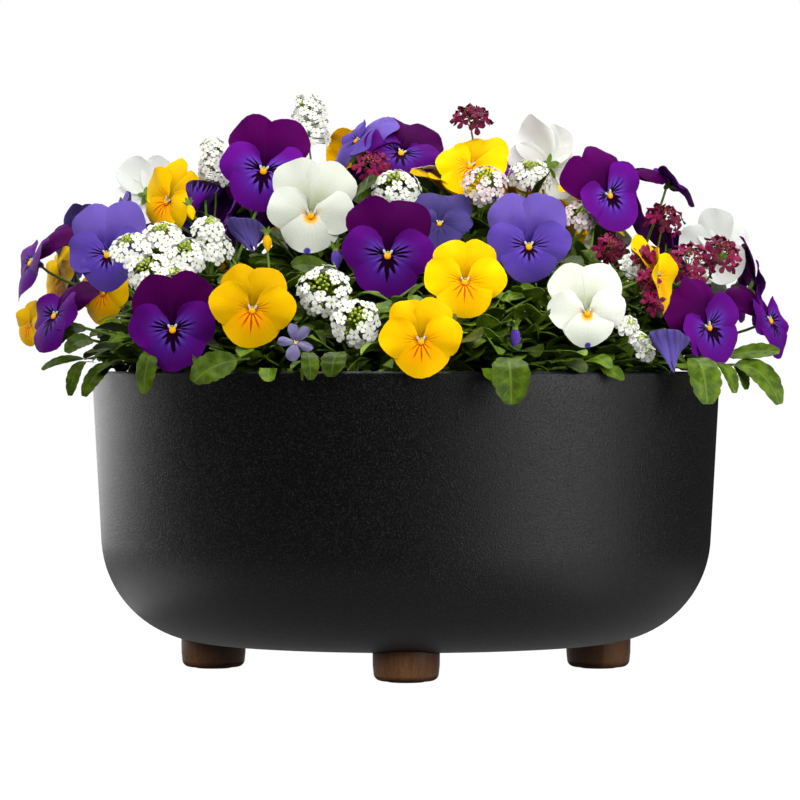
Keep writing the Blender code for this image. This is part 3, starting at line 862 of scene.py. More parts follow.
def add_furled(plant, size, matrix, material, tint, rng):
    """A fading blossom: petals folded in on each other and creased, wide at the neck, narrow at the tip."""
    across = np.linspace(-1.0, 1.0, 15)[None, :]
    along = np.linspace(0.0, 1.0, 15)[:, None]
    girth = np.interp(along, (0.0, 0.08, 0.30, 0.55, 0.80, 1.0), FURL_GIRTH)
    lean = rng.uniform(-0.5, 0.5)
    for i in range(FURLED_PETALS):
        phase = rng.uniform(0.0, math.tau, 3)
        turn = math.tau * i / FURLED_PETALS + rng.normal() * 0.3 + across * 1.25
        crease = 0.16 * np.sin(across * 3.0 + phase[0] + along * 2.0)
        crease = crease + 0.06 * np.sin(across * 5.5 + phase[1] + along * 4.0) * along
        corner = 0.30 * np.abs(np.cos(turn)) ** 6 * (1.0 - along)
        out = size * girth * (1.0 + crease + corner - 0.06 * i / FURLED_PETALS)
        reach = size * (1.7 + 0.5 * rng.random()) * along * (1.0 - 0.35 * across ** 2)
        reach = reach * (1.0 + 0.12 * np.sin(across * 4.0 + phase[2]))
        bow = 0.05 * size * np.sin(np.cos(turn) * 2.0 + phase[0])
        aside = out * np.cos(turn) + lean * size * along
        grid = np.stack((aside, 0.2 * size - reach + bow, 0.50 * out * np.sin(turn)), axis=-1)
        add_sheet(plant, transform(matrix, grid), PETAL_THICKNESS, material, across, along, SIDE, tint)
    add_calyx(plant, size, matrix, rng)


def add_stem(plant, matrix, size, rng, radius=0.95 * MM, hook=0.55):
    """A flower stalk from the plant's crown, hooked over behind the blossom."""
    back = np.array(matrix.to_3x3() @ Vector((0.0, 1.0, 0.0)))
    head = np.array(matrix @ Vector((0.0, 0.26 * size, 0.0)))
    rise = np.array((0.0, 0.0, head[2] - plant.crown[2]))
    wander = rng.normal(size=3) * 6.0 * MM
    over = head + back * size * hook + np.array((0.0, 0.0, size * 0.10)) - rise * 0.18
    path = bezier(plant.crown, plant.crown + rise * 0.55 + wander, over, head, 14)
    add_tube(plant, path, np.linspace(1.25, 0.9, 14) * radius, 6, "stem_green", rng.random())


def add_bud(plant, matrix, size, material, rng):
    """A closed bud, petals rolled to a point, held in its sepals."""
    points, faces = BALL
    shaped = points * np.array((0.24, 0.52, 0.24))
    taper = 1.0 - 0.55 * np.clip(-points[:, 1], 0.0, 1.0)
    twist = points[:, 1] * 1.2
    x = shaped[:, 0] * np.cos(twist) - shaped[:, 2] * np.sin(twist)
    z = shaped[:, 0] * np.sin(twist) + shaped[:, 2] * np.cos(twist)
    shaped = np.stack((x * taper, shaped[:, 1], z * taper), axis=-1) * size
    marks = marks_of(len(points), points[:, 0], 0.55 - 0.35 * points[:, 1], SIDE, rng.random())
    plant.add(transform(matrix, shaped), faces, material, marks)
    half_turn = Matrix.Rotation(math.pi, 4, "X")
    cup = moved(matrix, 0.0, 0.42 * size, 0.0) @ half_turn
    add_sepals(plant, cup, size, math.radians(22.0), rng, 0.75)
    add_grain(plant, cup, np.array((0.15, 0.16, 0.15)) * size, "stem_green", BALL, 0.5)
    add_stem(plant, cup @ half_turn, size, rng, 0.8 * MM, 1.0)


# Sweet alyssum

STALK_RADIUS = 0.35 * MM
SPIKE_LENGTH = 24.0 * MM
SPIKE_FLORETS = 40


def make_floret(length, width, cup):
    """Points, faces and marks of a four-petal floret facing +Z, about the origin."""
    build = Build()
    across = np.linspace(-1.0, 1.0, 3)[None, :]
    along = np.array((0.0, 0.35, 0.65, 0.88, 1.0))[:, None]
    half = width / 2 * np.array((0.35, 0.75, 1.0, 0.85, 0.40))[:, None]
    for i in range(4):
        out = length * (0.10 + 0.90 * along) * (1.0 - 0.07 * across ** 2 * along)
        rise = cup * length * (along ** 2 - 0.6 * across ** 2 * along)
        grid = np.stack(np.broadcast_arrays(across * half, out, rise), axis=-1)
        turned = Matrix.Rotation(math.tau * (i + 0.5) / 4, 4, "Z")
        add_sheet(build, transform(turned, grid), 0.3 * MM, "petal", across, along, SIDE, 0.5)
    return np.concatenate(build.points), np.concatenate(build.faces[4])


FLORETS = {
    "white": make_floret(3.7 * MM, 3.4 * MM, 0.10),
    "pink": make_floret(3.6 * MM, 3.2 * MM, 0.12),
    "wine": make_floret(5.4 * MM, 3.8 * MM, 0.25),
}


def facing(direction, place, roll=0.0):
    """A matrix at a place whose +Z points in a direction."""
    turn = Vector(direction).to_track_quat("Z", "Y").to_matrix().to_4x4()
    return Matrix.Translation(place) @ turn @ Matrix.Rotation(roll, 4, "Z")


def add_floret(build, colour, matrix, scale, tint):
    points, faces = FLORETS[colour]
    marks = marks_of(len(points), 0.0, 0.5, SIDE, tint)
    build.add(transform(matrix, points * scale), faces, "floret_" + colour, marks)
    heart = moved(matrix, 0.0, 0.0, 0.3 * MM)
    dot = "bud_wine" if colour == "wine" else "floret_heart"
    add_grain(build, heart, np.array((0.7, 0.7, 0.6)) * MM * scale, dot, LOW_BALL, tint)


def dome_point(lean, turn):
    """A direction lean away from +Z, turned about it."""
    return Vector((math.sin(lean) * math.cos(turn), math.sin(lean) * math.sin(turn), math.cos(lean)))


def add_bud_knot(build, matrix, radius, spread, count, material, rng):
    """Unopened buds in the middle of a flower head."""
    for i in range(count):
        out = dome_point(spread * math.sqrt((i + 0.3) / count), i * GOLDEN_ANGLE)
        bud = matrix @ facing(out, out * radius)
        size = np.array((1.0, 1.0, 1.5)) * MM * rng.uniform(0.8, 1.2)
        add_grain(build, bud, size, material, LOW_BALL, rng.random())


def add_head(build, matrix, width, colour, florets, rng):
    """A domed flower head: buds in the middle, florets round them, each on its own stalk."""
    radius = width / 2
    base = matrix @ Vector((0.0, 0.0, -radius * 0.6))
    inner, outer = math.radians(22.0), math.radians(105.0)
    green = "bud_wine" if colour == "wine" else "bud_green"
    for i in range(florets):
        lean = inner + (outer - inner) * ((i + 0.5) / florets) ** 0.7 + rng.normal() * 0.05
        turn = i * GOLDEN_ANGLE + rng.normal() * 0.12
        out = dome_point(lean, turn)
        place = out * radius * rng.uniform(0.84, 1.05)
        place.z *= 0.75
        aim = (out + Vector((0.0, 0.0, 0.30))).normalized()
        add_floret(build, colour, matrix @ facing(aim, place, rng.random() * math.tau),
                   rng.uniform(0.92, 1.28), rng.random())
        path = bezier(base, matrix @ Vector((0.0, 0.0, -radius * 0.2)),
                      matrix @ (place * 0.70), matrix @ (place * 0.97), 4)
        add_tube(build, path, STALK_RADIUS, 3, "stem_green", rng.random())
    flat = matrix @ Matrix.Scale(0.8, 4, UP)
    add_bud_knot(build, flat, radius * 0.86, inner * 1.3, 16, green, rng)
    add_bud_knot(build, flat, radius * 0.62, math.radians(100.0), 22, green, rng)
    return base


def add_raceme(build, matrix, width, length, colour, rng):
    """A taller flower spike: florets up a stalk, with a knot of buds at its tip."""
    for i in range(SPIKE_FLORETS):
        share = (i + 0.5) / SPIKE_FLORETS
        out = dome_point(math.radians(100.0 - 55.0 * share), i * GOLDEN_ANGLE)
        root = Vector((0.0, 0.0, length * (share - 1.0)))
        place = root + out * (width / 2) * rng.uniform(0.7, 1.0) * (1.0 - 0.30 * share)
        add_floret(build, colour, matrix @ facing(out, place, rng.random() * math.tau),
                   rng.uniform(0.90, 1.16), rng.random())
        bow = root.lerp(place, 0.5) - UP * 0.5 * MM
        stalk = [matrix @ root, matrix @ bow, matrix @ place]
        add_tube(build, stalk, STALK_RADIUS, 3, "stem_green", rng.random())
    add_bud_knot(build, matrix, 5.0 * MM, math.radians(110.0), 30, "bud_green", rng)
    bottom = matrix @ Vector((0.0, 0.0, -length * 1.1))
    stalk = [bottom, matrix @ Vector((0.0, 0.0, -length * 0.5)), matrix.translation]
    add_tube(build, stalk, 0.9 * MM, 5, "stem_green", rng.random())
    return bottom


# Leaves

LEAF_THICKNESS = 0.35 * MM
# Shortest and longest, narrowest and widest small leaves in millimetres, by where they grow
LEAF_SIZES = {
    ("shoot", "leaf_narrow"): (17.0, 28.0, 4.5, 7.0),
    ("shoot", "leaf_pansy"): (24.0, 38.0, 12.0, 19.0),
    ("rosette", "leaf_narrow"): (17.0, 28.0, 5.0, 8.0),
    ("rosette", "leaf_pansy"): (24.0, 40.0, 13.0, 20.0),
    ("fringe", "leaf_narrow"): (18.0, 28.0, 4.5, 7.0),
    ("fringe", "leaf_pansy"): (22.0, 36.0, 12.0, 19.0),
    ("stalk", "leaf_narrow"): (15.0, 22.0, 3.5, 5.5),
}


def leaf_size(where, kind, rng):
    """A random length and width."""
    shortest, longest, narrowest, widest = LEAF_SIZES[where, kind]
    return rng.uniform(shortest, longest) * MM, rng.uniform(narrowest, widest) * MM


def leaf_width(along, kind, fine):
    """Half-width of a leaf along it, as a share of its greatest half-width."""
    if kind == "leaf_narrow":
        shape = np.sin(np.clip(along * 0.97 + 0.03, 0.0, 1.0) ** 1.25 * math.pi) ** 0.85
        return np.maximum(shape, 0.08)
    blade = np.clip((along - 0.22) / 0.78, 0.0, 1.0)
    shape = np.sin(np.clip(blade ** 0.95 * 0.975, 0.0, 1.0) * math.pi) ** 0.50
    lobes = 5.5 if fine else 3.5
    scallop = 1.0 - 0.11 * (1.0 - np.abs(np.sin(blade * math.pi * lobes))) ** 1.3 * (blade > 0.1)
    return np.maximum(shape * scallop, 0.07)


def add_leaf(build, base, heading, size, kind, rng, droop, fold, roll=0.0, tint=None, fine=False):
    """A leaf of a length and width on its stalk: its midrib bends down, and its halves fold up from it."""
    length, width = size
    rows, columns = (34, 9) if fine else (13, 5)
    along = np.linspace(0.0, 1.0, rows)
    heading = unit(heading)
    bend = droop * along[:, None] ** 2 * np.array((0.0, 0.0, -1.0))
    direction = unit(heading + bend * 2.0)
    steps = direction * (length / (rows - 1))
    spine = np.asarray(base) + np.concatenate((np.zeros((1, 3)), np.cumsum(steps[:-1], axis=0)))
    side = np.cross(heading, (0.0, 0.0, 1.0))
    if np.linalg.norm(side) < 0.05:
        side = np.array((math.cos(roll), math.sin(roll), 0.0))
    side = unit(side)
    normal = unit(np.cross(side, direction))
    side = side * math.cos(roll) + normal * math.sin(roll)
    normal = unit(np.cross(side, direction))
    across = np.linspace(-1.0, 1.0, columns)
    half = width / 2 * leaf_width(along, kind, fine)
    phase = rng.uniform(0.0, math.tau)
    ripple = 0.05 if fine else 0.10
    wave = ripple * np.sin(along[:, None] * 9.0 + phase + across * 2.0) * np.abs(across)
    puff = 0.05 * np.sin(along[:, None] * 28.0) * np.sin(np.abs(across) * math.pi)
    lift = (fold * np.abs(across) + wave + puff) * half[:, None]
    grid = spine[:, None] + side[:, None] * (across * half[:, None])[..., None]
    grid = grid + normal[:, None] * lift[..., None]
    tint = rng.random() if tint is None else tint
    add_sheet(build, grid, LEAF_THICKNESS, kind, across[None, :], along[:, None], LEAF, tint)


class Zones:
    """The space kept free of leaves in front of each blossom and flower head."""

    def __init__(self):
        self.centres, self.aims, self.radii, self.depths = [], [], [], []

    def keep(self, centre, aim, radius, depth):
        self.centres.append(tuple(centre))
        self.aims.append(tuple(aim))
        self.radii.append(radius)
        self.depths.append(depth)

    def blocks(self, points, margin):
        """Whether any of the points lies in a space kept free."""
        offset = np.asarray(points)[:, None] - np.array(self.centres)
        ahead = (offset * np.array(self.aims)).sum(axis=-1)
        aside = np.linalg.norm(offset - ahead[..., None] * np.array(self.aims), axis=-1)
        near = (ahead > -4.0 * MM) & (ahead < np.array(self.depths))
        return bool((near & (aside < np.array(self.radii) + margin)).any())


def foliage_height(radius):
    """Height of the foliage's surface above the rim, by distance from the axis."""
    return FOLIAGE_EDGE + FOLIAGE_RISE * max(1.0 - (radius / FOLIAGE_RADIUS) ** 2, 0.0)


def try_leaf(plant, zones, place, heading, size, rng, droop, fold, roll):
    """A leaf, unless it would hide a blossom."""
    length, width = size
    tip = np.asarray(place) + unit(heading) * length
    tip[2] -= droop * length * 0.5
    if zones.blocks((place, (place + tip) / 2, tip), width * 0.35):
        return
    add_leaf(plant, place, heading, size, plant.leaf, rng, droop, fold, roll)


def add_shoots(plant, zones, rng):
    """Leafy shoots from the plant's crown up to the foliage's surface."""
    crown = plant.crown
    leaves = 13 if plant.leaf == "leaf_narrow" else 9
    for i in range(SHOOTS):
        turn = i * GOLDEN_ANGLE + rng.random()
        reach = SHOOT_SPREAD * math.sqrt((i + 0.5) / SHOOTS)
        tip = crown * (SHOOT_LEAN, SHOOT_LEAN, 0.0) + reach * heading_of(turn, 0.0)
        radius = math.hypot(tip[0], tip[1])
        tip *= min(1.0, SHOOT_REACH / radius)
        radius = min(radius, SHOOT_REACH)
        tip[2] = RIM_Z + foliage_height(radius) * rng.uniform(0.50, 1.0)
        knee = np.array((crown[0], crown[1], crown[2] + (tip[2] - crown[2]) * 0.6))
        path = bezier(crown, knee, (knee + tip) / 2, tip, 12)
        if zones.blocks(path[3:], 1.5 * MM):
            continue
        add_tube(plant, path, np.linspace(1.2, 0.6, 12) * MM, 5, "stem_green", rng.random())
        for j in range(leaves):
            share = 0.15 + 0.85 * (j + rng.random() * 0.5) / leaves
            place = path[min(int(share * 11), 11)]
            spin = j * GOLDEN_ANGLE + turn
            outward = unit(np.array((place[0], place[1], 0.0)))
            heading = unit(heading_of(spin, 0.15 + 0.55 * share) + outward * 0.45)
            try_leaf(plant, zones, place, heading, leaf_size("shoot", plant.leaf, rng), rng,
                     rng.uniform(0.0, 0.6), rng.uniform(0.0, 0.35), rng.normal() * 0.35)


def add_rosette(plant, zones, rng):
    """Low leaves that fill the bed between the stems."""
    for i in range(ROSETTE_LEAVES):
        turn = i * GOLDEN_ANGLE + rng.random()
        reach = ROSETTE_SPREAD * math.sqrt(rng.random())
        place = plant.crown * (1.0, 1.0, 0.0) + reach * heading_of(turn, 0.0)
        radius = math.hypot(place[0], place[1])
        place *= min(1.0, ROSETTE_REACH / radius)
        surface = foliage_height(min(radius, ROSETTE_REACH))
        place[2] = RIM_Z + surface * rng.uniform(0.0, 0.75)
        heading = heading_of(turn, rng.uniform(-0.1, 0.9))
        try_leaf(plant, zones, place, heading, leaf_size("rosette", plant.leaf, rng), rng,
                 rng.uniform(0.0, 0.7), rng.uniform(0.0, 0.35), rng.normal() * 0.5)


def keep_clear(points):
    """Keeps a plant's points off the rim, out of the bowl's wall and above the soil."""
    points = points.copy()
    radius = np.hypot(points[:, 0], points[:, 1])
    over = (radius > RIM_INSIDE) & (radius < RIM_OUTSIDE)
    lowest = RIM_Z + RIM_CLEARANCE
    points[over, 2] = np.maximum(points[over, 2], lowest)
    inside = radius <= RIM_INSIDE
    points[inside, 2] = np.maximum(points[inside, 2], SOIL_TOP)
    return points


# The planting: places are in millimetres from the centre of the rim (right, towards the back, up)

def spot(right, back, up):
    return Vector((right * MM, back * MM, RIM_Z + up * MM))


def blossom_matrix(place, yaw, tilt, roll):
    """Faces the front at yaw 0 and the right at 90; tilt turns the face up and roll turns it clockwise."""
    turn = Matrix.Rotation(math.radians(yaw), 4, "Z") @ Matrix.Rotation(math.radians(-tilt), 4, "X")
    return Matrix.Translation(place) @ turn @ Matrix.Rotation(math.radians(roll), 4, "Y")


# A blossom: colour, place, width, yaw, tilt, roll, the tint from dark to light, and in degrees how far the
# lower petals arch forwards and the upper ones backwards
Flower = namedtuple(
    "Flower", "colour place width yaw tilt roll tint closing recurve", defaults=(None, 0.0, 4.0)
)


def grouped(kind, *groups):
    """Flowers or heads from rows grouped by colour."""
    return tuple(kind(colour, *row) for colour, rows in groups for row in rows)


FLOWERS = grouped(
    Flower,
    ("purple", (
        ((-94, -40, 133), 56, -6, 8, 8, 1.0), ((-12, -120, 75), 56, 4, 4, 4, 0.2),
        ((-148, -155, 27), 54, -8, 2, -4, 0.0), ((133, -60, 116), 51, 38, 6, -30, 0.9, 8, 12),
        ((196, -90, 29), 52, 42, 4, -30, 0.6, 8, 14), ((-3, 10, 147), 50, 8, 36, 24, 0.0),
        ((-251, 0, 73), 54, -72, 20, 0, 0.0, 0, 22), ((-232, -40, 37), 52, -56, 20, 0, 0.0, 0, 24),
        ((177, -20, 126), 44, 95, 46, 0, 0.2, 0, 24), ((242, -20, 34), 52, 64, 18, 0, 0.3, 0, 24),
        ((74, 40, 136), 40, 60, 50, 0),
    )),
    ("faded", (
        ((22, -60, 97), 41, 0, 30, 6, 0.0),
    )),
    ("blue", (
        ((-196, -60, 77), 53, -18, 6, -6, 0.8), ((79, -110, 81), 52, 4, 4, 0, 0.7),
        ((-33, 30, 156), 46, -64, 36, 20, 0.8, 0, 14), ((-231, 60, 87), 44, -110, 10, 0, 0.0),
    )),
    ("yellow", (
        ((-97, -175, 39), 52, 4, 4, 6, 0.2), ((9, -217, 19), 49, -2, 2, -2, 0.6),
        ((37, -160, 57), 50, 2, 6, 2, 0.9), ((-160, 0, 114), 52, -50, 4, 36, 0.9),
        ((43, -20, 137), 50, -24, 34, 10, 0.9), ((-33, 60, 145), 44, 160, 20, 0),
        ((162, -114, 61), 54, 74, 2, 6, 0.8, 10, 16), ((-236, 40, 62), 44, -62, 4, 0, 1.0),
        ((-204, 20, 53), 46, -40, 8, 0), ((-254, 20, 31), 30, -50, 0, 20, 1.0),
    )),
    ("white", (
        ((-62, -80, 102), 55, 2, 4, 6, 0.5), ((114, -165, 37), 47, 4, 2, -2, 0.9),
    )),
    # White blossoms seen from behind, in the pale petals: painted light that stands in for light through them
    ("pale", (
        ((-177, 60, 119), 42, 170, -10, 0), ((100, 20, 138), 56, 128, 4, 60),
        ((213, 20, 78), 46, 150, -10, 40),
    )),
    ("lavender", (
        ((-69, -200, 18), 24, 6, 10, 14),
    )),
)
# Fading blossoms, furled and nodding
FADED = grouped(
    Flower,
    ("purple", (
        ((-135, -40, 122), 23, -40, -52, 0, 0.0), ((-126, -60, 95), 17, 20, -60, 0, 0.0),
    )),
    ("faded", (
        ((-106, -84, 95), 26, 36, -50, 10, 0.1), ((166, -170, 22), 26, 26, -62, 14, 1.0),
    )),
)
BUDS = grouped(
    Flower,
    ("blue", (
        ((68, -186, 20), 15, 0, -86, 0), ((-45, -100, 72), 15, 10, -60, 0),
    )),
    ("yellow", (
        ((-90, -92, 83), 13, 10, -60, 0), ((-141, -62, 104), 13, 20, -50, 0),
    )),
)
# The plants that carry blossoms of a colour that isn't a plant's own
OTHER_COLOURS = {"lavender": "pansy", "faded": "pansy", "pale": "pansy_white"}

# For each plant at the back: turn from its bearing in radians, share of the dome's reach, and the
# distance from the axis where the plant stands in the middle
PLACES_BEHIND = ((-0.17, 0.62, 40.0), (0.0, 0.96, 80.0), (0.17, 0.80, 110.0), (-0.25, 0.91, 130.0))

# Flower heads of alyssum: colour, place, width, yaw, tilt
Head = namedtuple("Head", "colour place width yaw tilt")
HEADS = grouped(
    Head,
    ("white", (
        ((-178, -100, 78), 27, -25, 55), ((-158, -92, 86), 26, 0, 60), ((-142, -104, 74), 28, 5, 45),
        ((-126, -92, 80), 26, 15, 55), ((-166, -110, 64), 27, -10, 30), ((-148, -112, 60), 24, 0, 20),
        ((-128, -96, 92), 20, 20, 60), ((-52, -150, 51), 34, -4, 30), ((-32, -172, 31), 31, 8, 25),
        ((-7, -40, 120), 32, 5, 50),
    )),
    ("pink", (((52, -50, 122), 30, 0, 50),)),
    ("white", (
        ((83, -10, 130), 28, 20, 65), ((140, -160, 29), 12, 20, 30), ((148, -100, 69), 16, 10, 30),
        ((147, -160, 20), 10, 20, 30), ((152, -158, 12), 9, 20, 20),
    )),
    ("wine", (
        ((44, 0, 168), 25, 0, 75), ((-22, -20, 136), 22, 0, 40), ((186, -62, 70), 28, 15, 40),
        ((207, -55, 76), 26, 35, 45), ((152, -124, 74), 11, 10, 30), ((155, -128, 58), 11, 10, 20),
        ((158, -130, 44), 10, 10, 10), ((133, -80, 80), 18, 10, 30), ((172, -20, 100), 24, 30, 60),
    )),
    ("pink", (((114, -60, 102), 20, 10, 40),)),
)
SPIKES = grouped(
    Head,
    ("white", (
        ((-65, 0, 178), 32, 0, 80), ((-131, 20, 150), 26, -20, 75),
    )),
)

# Leaves that show on their own, most of them over the rim: place of the base, heading, length, width,
# how far the tip droops, roll in radians and tint
Hero = namedtuple("Hero", "base heading length width droop roll tint", defaults=(0.0, 0.20))
HERO_LEAVES = (
    Hero((62, -198, 8), (0.10, -1.0, 0.10), 46, 25, 3.2, 0.0, 0.4),
    Hero((181, -114, 8), (0.35, -0.9, 0.1), 48, 24, 3.0, 0.0, 0.5),
    Hero((196, -84, 6), (0.6, -0.6, 0.0), 34, 14, 2.2, 0.0, 0.5),
    Hero((-158, -140, 12), (-0.3, -0.9, 0.1), 42, 13, 3.4, 0.5),
    Hero((-98, -192, 8), (-0.90, -0.45, -0.10), 42, 20, 0.5, 1.1),
    Hero((-62, -197, 12), (0.15, -1.0, 0.0), 28, 12, 2.6),
    Hero((-40, -200, 12), (-0.3, -0.9, 0.0), 28, 17, 1.8),
    Hero((-205, -44, 8), (-1.0, -0.4, 0.05), 38, 11, 0.4, 0.4),
    Hero((-206, -46, 6), (-0.6, -0.7, 0.1), 36, 10, 3.2, 0.3),
    Hero((-184, -90, 8), (-0.8, -0.6, -0.3), 40, 11, 1.0, 0.8),
    Hero((-206, -20, 26), (-0.9, -0.3, 0.3), 34, 12, 1.2, 0.8),
    Hero((-200, -60, 18), (-0.8, -0.6, 0.3), 30, 12, 0.9, 0.8),
    Hero((204, -40, 8), (1.0, -0.3, 0.25), 44, 13, 0.2, -0.9, 0.5),
    Hero((206, -46, 4), (1.0, -0.3, 0.1), 54, 17, 1.6, -0.9, 0.5),
    Hero((212, -40, 4), (0.8, -0.4, 0.0), 24, 9, 3.5, -0.5, 0.5),
    Hero((30, -190, 16), (0.4, -0.9, 0.3), 34, 22, 0.3, -0.5),
    Hero((-42, -120, 62), (-0.9, -0.5, 0.35), 36, 16, 0.3, 0.9),
    Hero((-38, -30, 112), (0.6, -0.6, 0.6), 30, 16, 0.2, -0.9),
    Hero((84, -30, 112), (0.3, -0.7, 0.7), 30, 18, 0.2, -0.7),
    Hero((172, -50, 66), (0.5, -0.7, 0.6), 28, 15, 0.2, -0.7),
)


class Plant(Build):
    """One plant's piece in the making, with the place where its stems leave the soil."""

    def __init__(self, node):
        super().__init__()
        self.node = node
        self.leaf = "leaf_pansy" if node.startswith("pansy") else "leaf_narrow"
        low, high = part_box(node)
        middle = (low + high) / 2 * CROWN_SHARE
        self.crown = np.array((middle.x, middle.y, SOIL_TOP + CROWN_HEIGHT))


def nearest(plants, place, start):
    """The plant of that kind whose crown is nearest to a place."""
    named = [plant for plant in plants if plant.node.startswith(start)]
    return min(named, key=lambda plant: math.hypot(plant.crown[0] - place.x, plant.crown[1] - place.y))


def place_flower(plants, flower, rng):
    """An open or fading blossom on the nearest plant that carries its colour."""
    place = spot(*flower.place)
    plant = nearest(plants, place, OTHER_COLOURS.get(flower.colour, "pansy_" + flower.colour))
    matrix = blossom_matrix(place, flower.yaw, flower.tilt, flower.roll)
    material = "petal_" + flower.colour
    size = flower.width * MM / 2
    tint = rng.random() if flower.tint is None else flower.tint
    if flower in FADED:
        add_furled(plant, size, matrix, material, tint, rng)
    else:
        add_blossom(plant, flower, size, matrix, material, tint, rng)


def head_matrix(head):
    """A flower head's place, with +Z out of its dome."""
    yaw, tilt = math.radians(head.yaw), math.radians(head.tilt)
    aim = Vector((math.sin(yaw) * math.cos(tilt), -math.cos(yaw) * math.cos(tilt), math.sin(tilt)))
    return facing(aim, spot(*head.place))


def place_head(plants, head, rng, spike=False):
    """A head or a spike on a stalk from the nearest alyssum of its colour."""
    wine = head.colour == "wine"
    plant = nearest(plants, spot(*head.place), "alyssum_wine" if wine else "alyssum_white")
    crown = plant.crown
    matrix = head_matrix(head)
    if spike:
        base = add_raceme(plant, matrix, head.width * MM, SPIKE_LENGTH, head.colour, rng)
    else:
        florets = int(head.width * (0.5 if wine else 1.0))
        base = add_head(plant, matrix, head.width * MM, head.colour, florets, rng)
    aim = np.array(matrix.to_3x3() @ UP)
    base = np.array(base)
    rise = np.array((0.0, 0.0, base[2] - crown[2]))
    path = bezier(crown, crown + rise * 0.5, base - aim * 22.0 * MM - rise * 0.15, base, 12)
    add_tube(plant, path, np.linspace(1.2, 0.7, 12) * MM, 5, "stem_green", rng.random())
    for i in range(3, 11, 2):
        size = leaf_size("stalk", "leaf_narrow", rng)
        add_leaf(plant, path[i], heading_of(i * GOLDEN_ANGLE, 0.6), size, "leaf_narrow", rng,
                 rng.uniform(0.1, 0.5), 0.2)


def flowers_behind(plants, rng):
    """Blossoms and heads for the plants of the back half, spread over the dome of the planting."""
    flowers, heads = [], []
    for plant in plants:
        crown = plant.crown
        if crown[1] < 10.0 * MM:
            continue
        bearing = math.atan2(crown[0], -crown[1])
        for offset, share, centre_out in PLACES_BEHIND:
            turn = bearing + offset + rng.normal() * 0.05
            out = share * DOME_REACH if math.hypot(*crown[:2]) > 0.1 else centre_out
            out += rng.normal() * 6.0
            up = DOME_RISE * max(1.0 - (out / DOME_RADIUS) ** 2, 0.0) ** 0.6 * rng.uniform(0.86, 1.0)
            place = (out * math.sin(turn), -out * math.cos(turn), up)
            yaw = math.degrees(turn) + rng.normal() * 12.0
            tilt = 62.0 - 58.0 * out / DOME_REACH + rng.normal() * 6.0
            kind, colour = plant.node.split("_")[:2]
            if kind == "pansy":
                flowers.append(Flower(colour, place, rng.uniform(48.0, 56.0), yaw, tilt, rng.normal() * 14.0))
            else:
                heads.append(Head(colour, place, rng.uniform(25.0, 32.0), yaw, max(tilt, 30.0)))
    return flowers, heads


def keep_zones(flowers, heads):
    """Free space ahead of each blossom and head, and in front of those that are listed."""
    zones = Zones()
    for flower in flowers:
        matrix = blossom_matrix(spot(*flower.place), flower.yaw, flower.tilt, flower.roll)
        centre = matrix @ Vector((0.0, 0.0, 4.0 * MM))
        radius = flower.width * MM / 2
        aim = matrix.to_3x3() @ AHEAD
        zones.keep(centre, aim, radius * 1.05, FREE_AHEAD)
        if flower in FLOWERS and abs(flower.yaw) < 80.0:
            zones.keep(centre, AHEAD, radius * 0.95, 2 * FREE_AHEAD)
        elif flower in FLOWERS:
            zones.keep(centre, AHEAD, radius * 0.7, 2 * FREE_AHEAD)
    for head in heads:
        matrix = head_matrix(head)
        radius = head.width * MM / 2
        zones.keep(matrix.translation, matrix.to_3x3() @ UP, radius, FREE_AHEAD)
        if head in HEADS:
            zones.keep(matrix.translation, AHEAD, radius, 2 * FREE_AHEAD)
    return zones


def add_fringe(plants, zones, rng):
    """Leaves all round the bed's edge that lean out over the rim."""
    for i in range(FRINGE_LEAVES):
        turn = math.tau * (i + rng.uniform(-0.4, 0.4)) / FRINGE_LEAVES
        radius = rng.uniform(176.0, 196.0) * MM
        place = radius * heading_of(turn, 0.0)
        place[2] = RIM_Z + rng.uniform(0.5, 18.0) * MM
        heading = heading_of(turn + rng.normal() * 0.6, rng.uniform(-0.1, 0.45))
        plant = nearest(plants, Vector(place), "")
        try_leaf(plant, zones, place, heading, leaf_size("fringe", plant.leaf, rng), rng,
                 rng.uniform(0.2, 0.8), rng.uniform(0.0, 0.3), rng.normal() * 0.3)


def make_planting():
    """Every plant as one piece on the lift-out planting, in place of its CAD solid."""
    nodes = [name for name in sorted(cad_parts) if name.startswith(("pansy_", "alyssum_"))]
    plants = [Plant(node) for node in nodes]
    rng = np.random.default_rng(SEED)
    behind, heads_behind = flowers_behind(plants, rng)
    flowers = (*FLOWERS, *FADED, *behind)
    heads = (*HEADS, *heads_behind)
    zones = keep_zones(flowers, heads)
    for plant in plants:
        add_shoots(plant, zones, rng)
        add_rosette(plant, zones, rng)
    add_fringe(plants, zones, rng)
    for hero in HERO_LEAVES:
        base = spot(*hero.base)
        size = (hero.length * MM, hero.width * MM)
        tint = hero.tint + rng.uniform(-0.1, 0.1)
        add_leaf(nearest(plants, base, "pansy"), base, hero.heading, size, "leaf_pansy", rng, hero.droop,
                 0.15, hero.roll, tint, fine=True)
    for flower in flowers:
        place_flower(plants, flower, rng)
    for bud in BUDS:
        place = spot(*bud.place)
        plant = nearest(plants, place, "pansy_" + bud.colour)
        matrix = blossom_matrix(place, bud.yaw, bud.tilt, bud.roll)
        add_bud(plant, matrix, bud.width * MM, "petal_" + bud.colour, rng)
    for head in heads:
        place_head(plants, head, rng)
    for spike in SPIKES:
        place_head(plants, spike, rng, spike=True)
    for plant in plants:
        piece = plant.make(plant.node + "_plant", PLANT_SHARP, keep_clear)
        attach(piece, "planting")
        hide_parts(plant.node)


# Studio: sizes and places in metres, power in watts

FLOOR_HALF = 30.0
SURROUND_RADIUS = 28.0
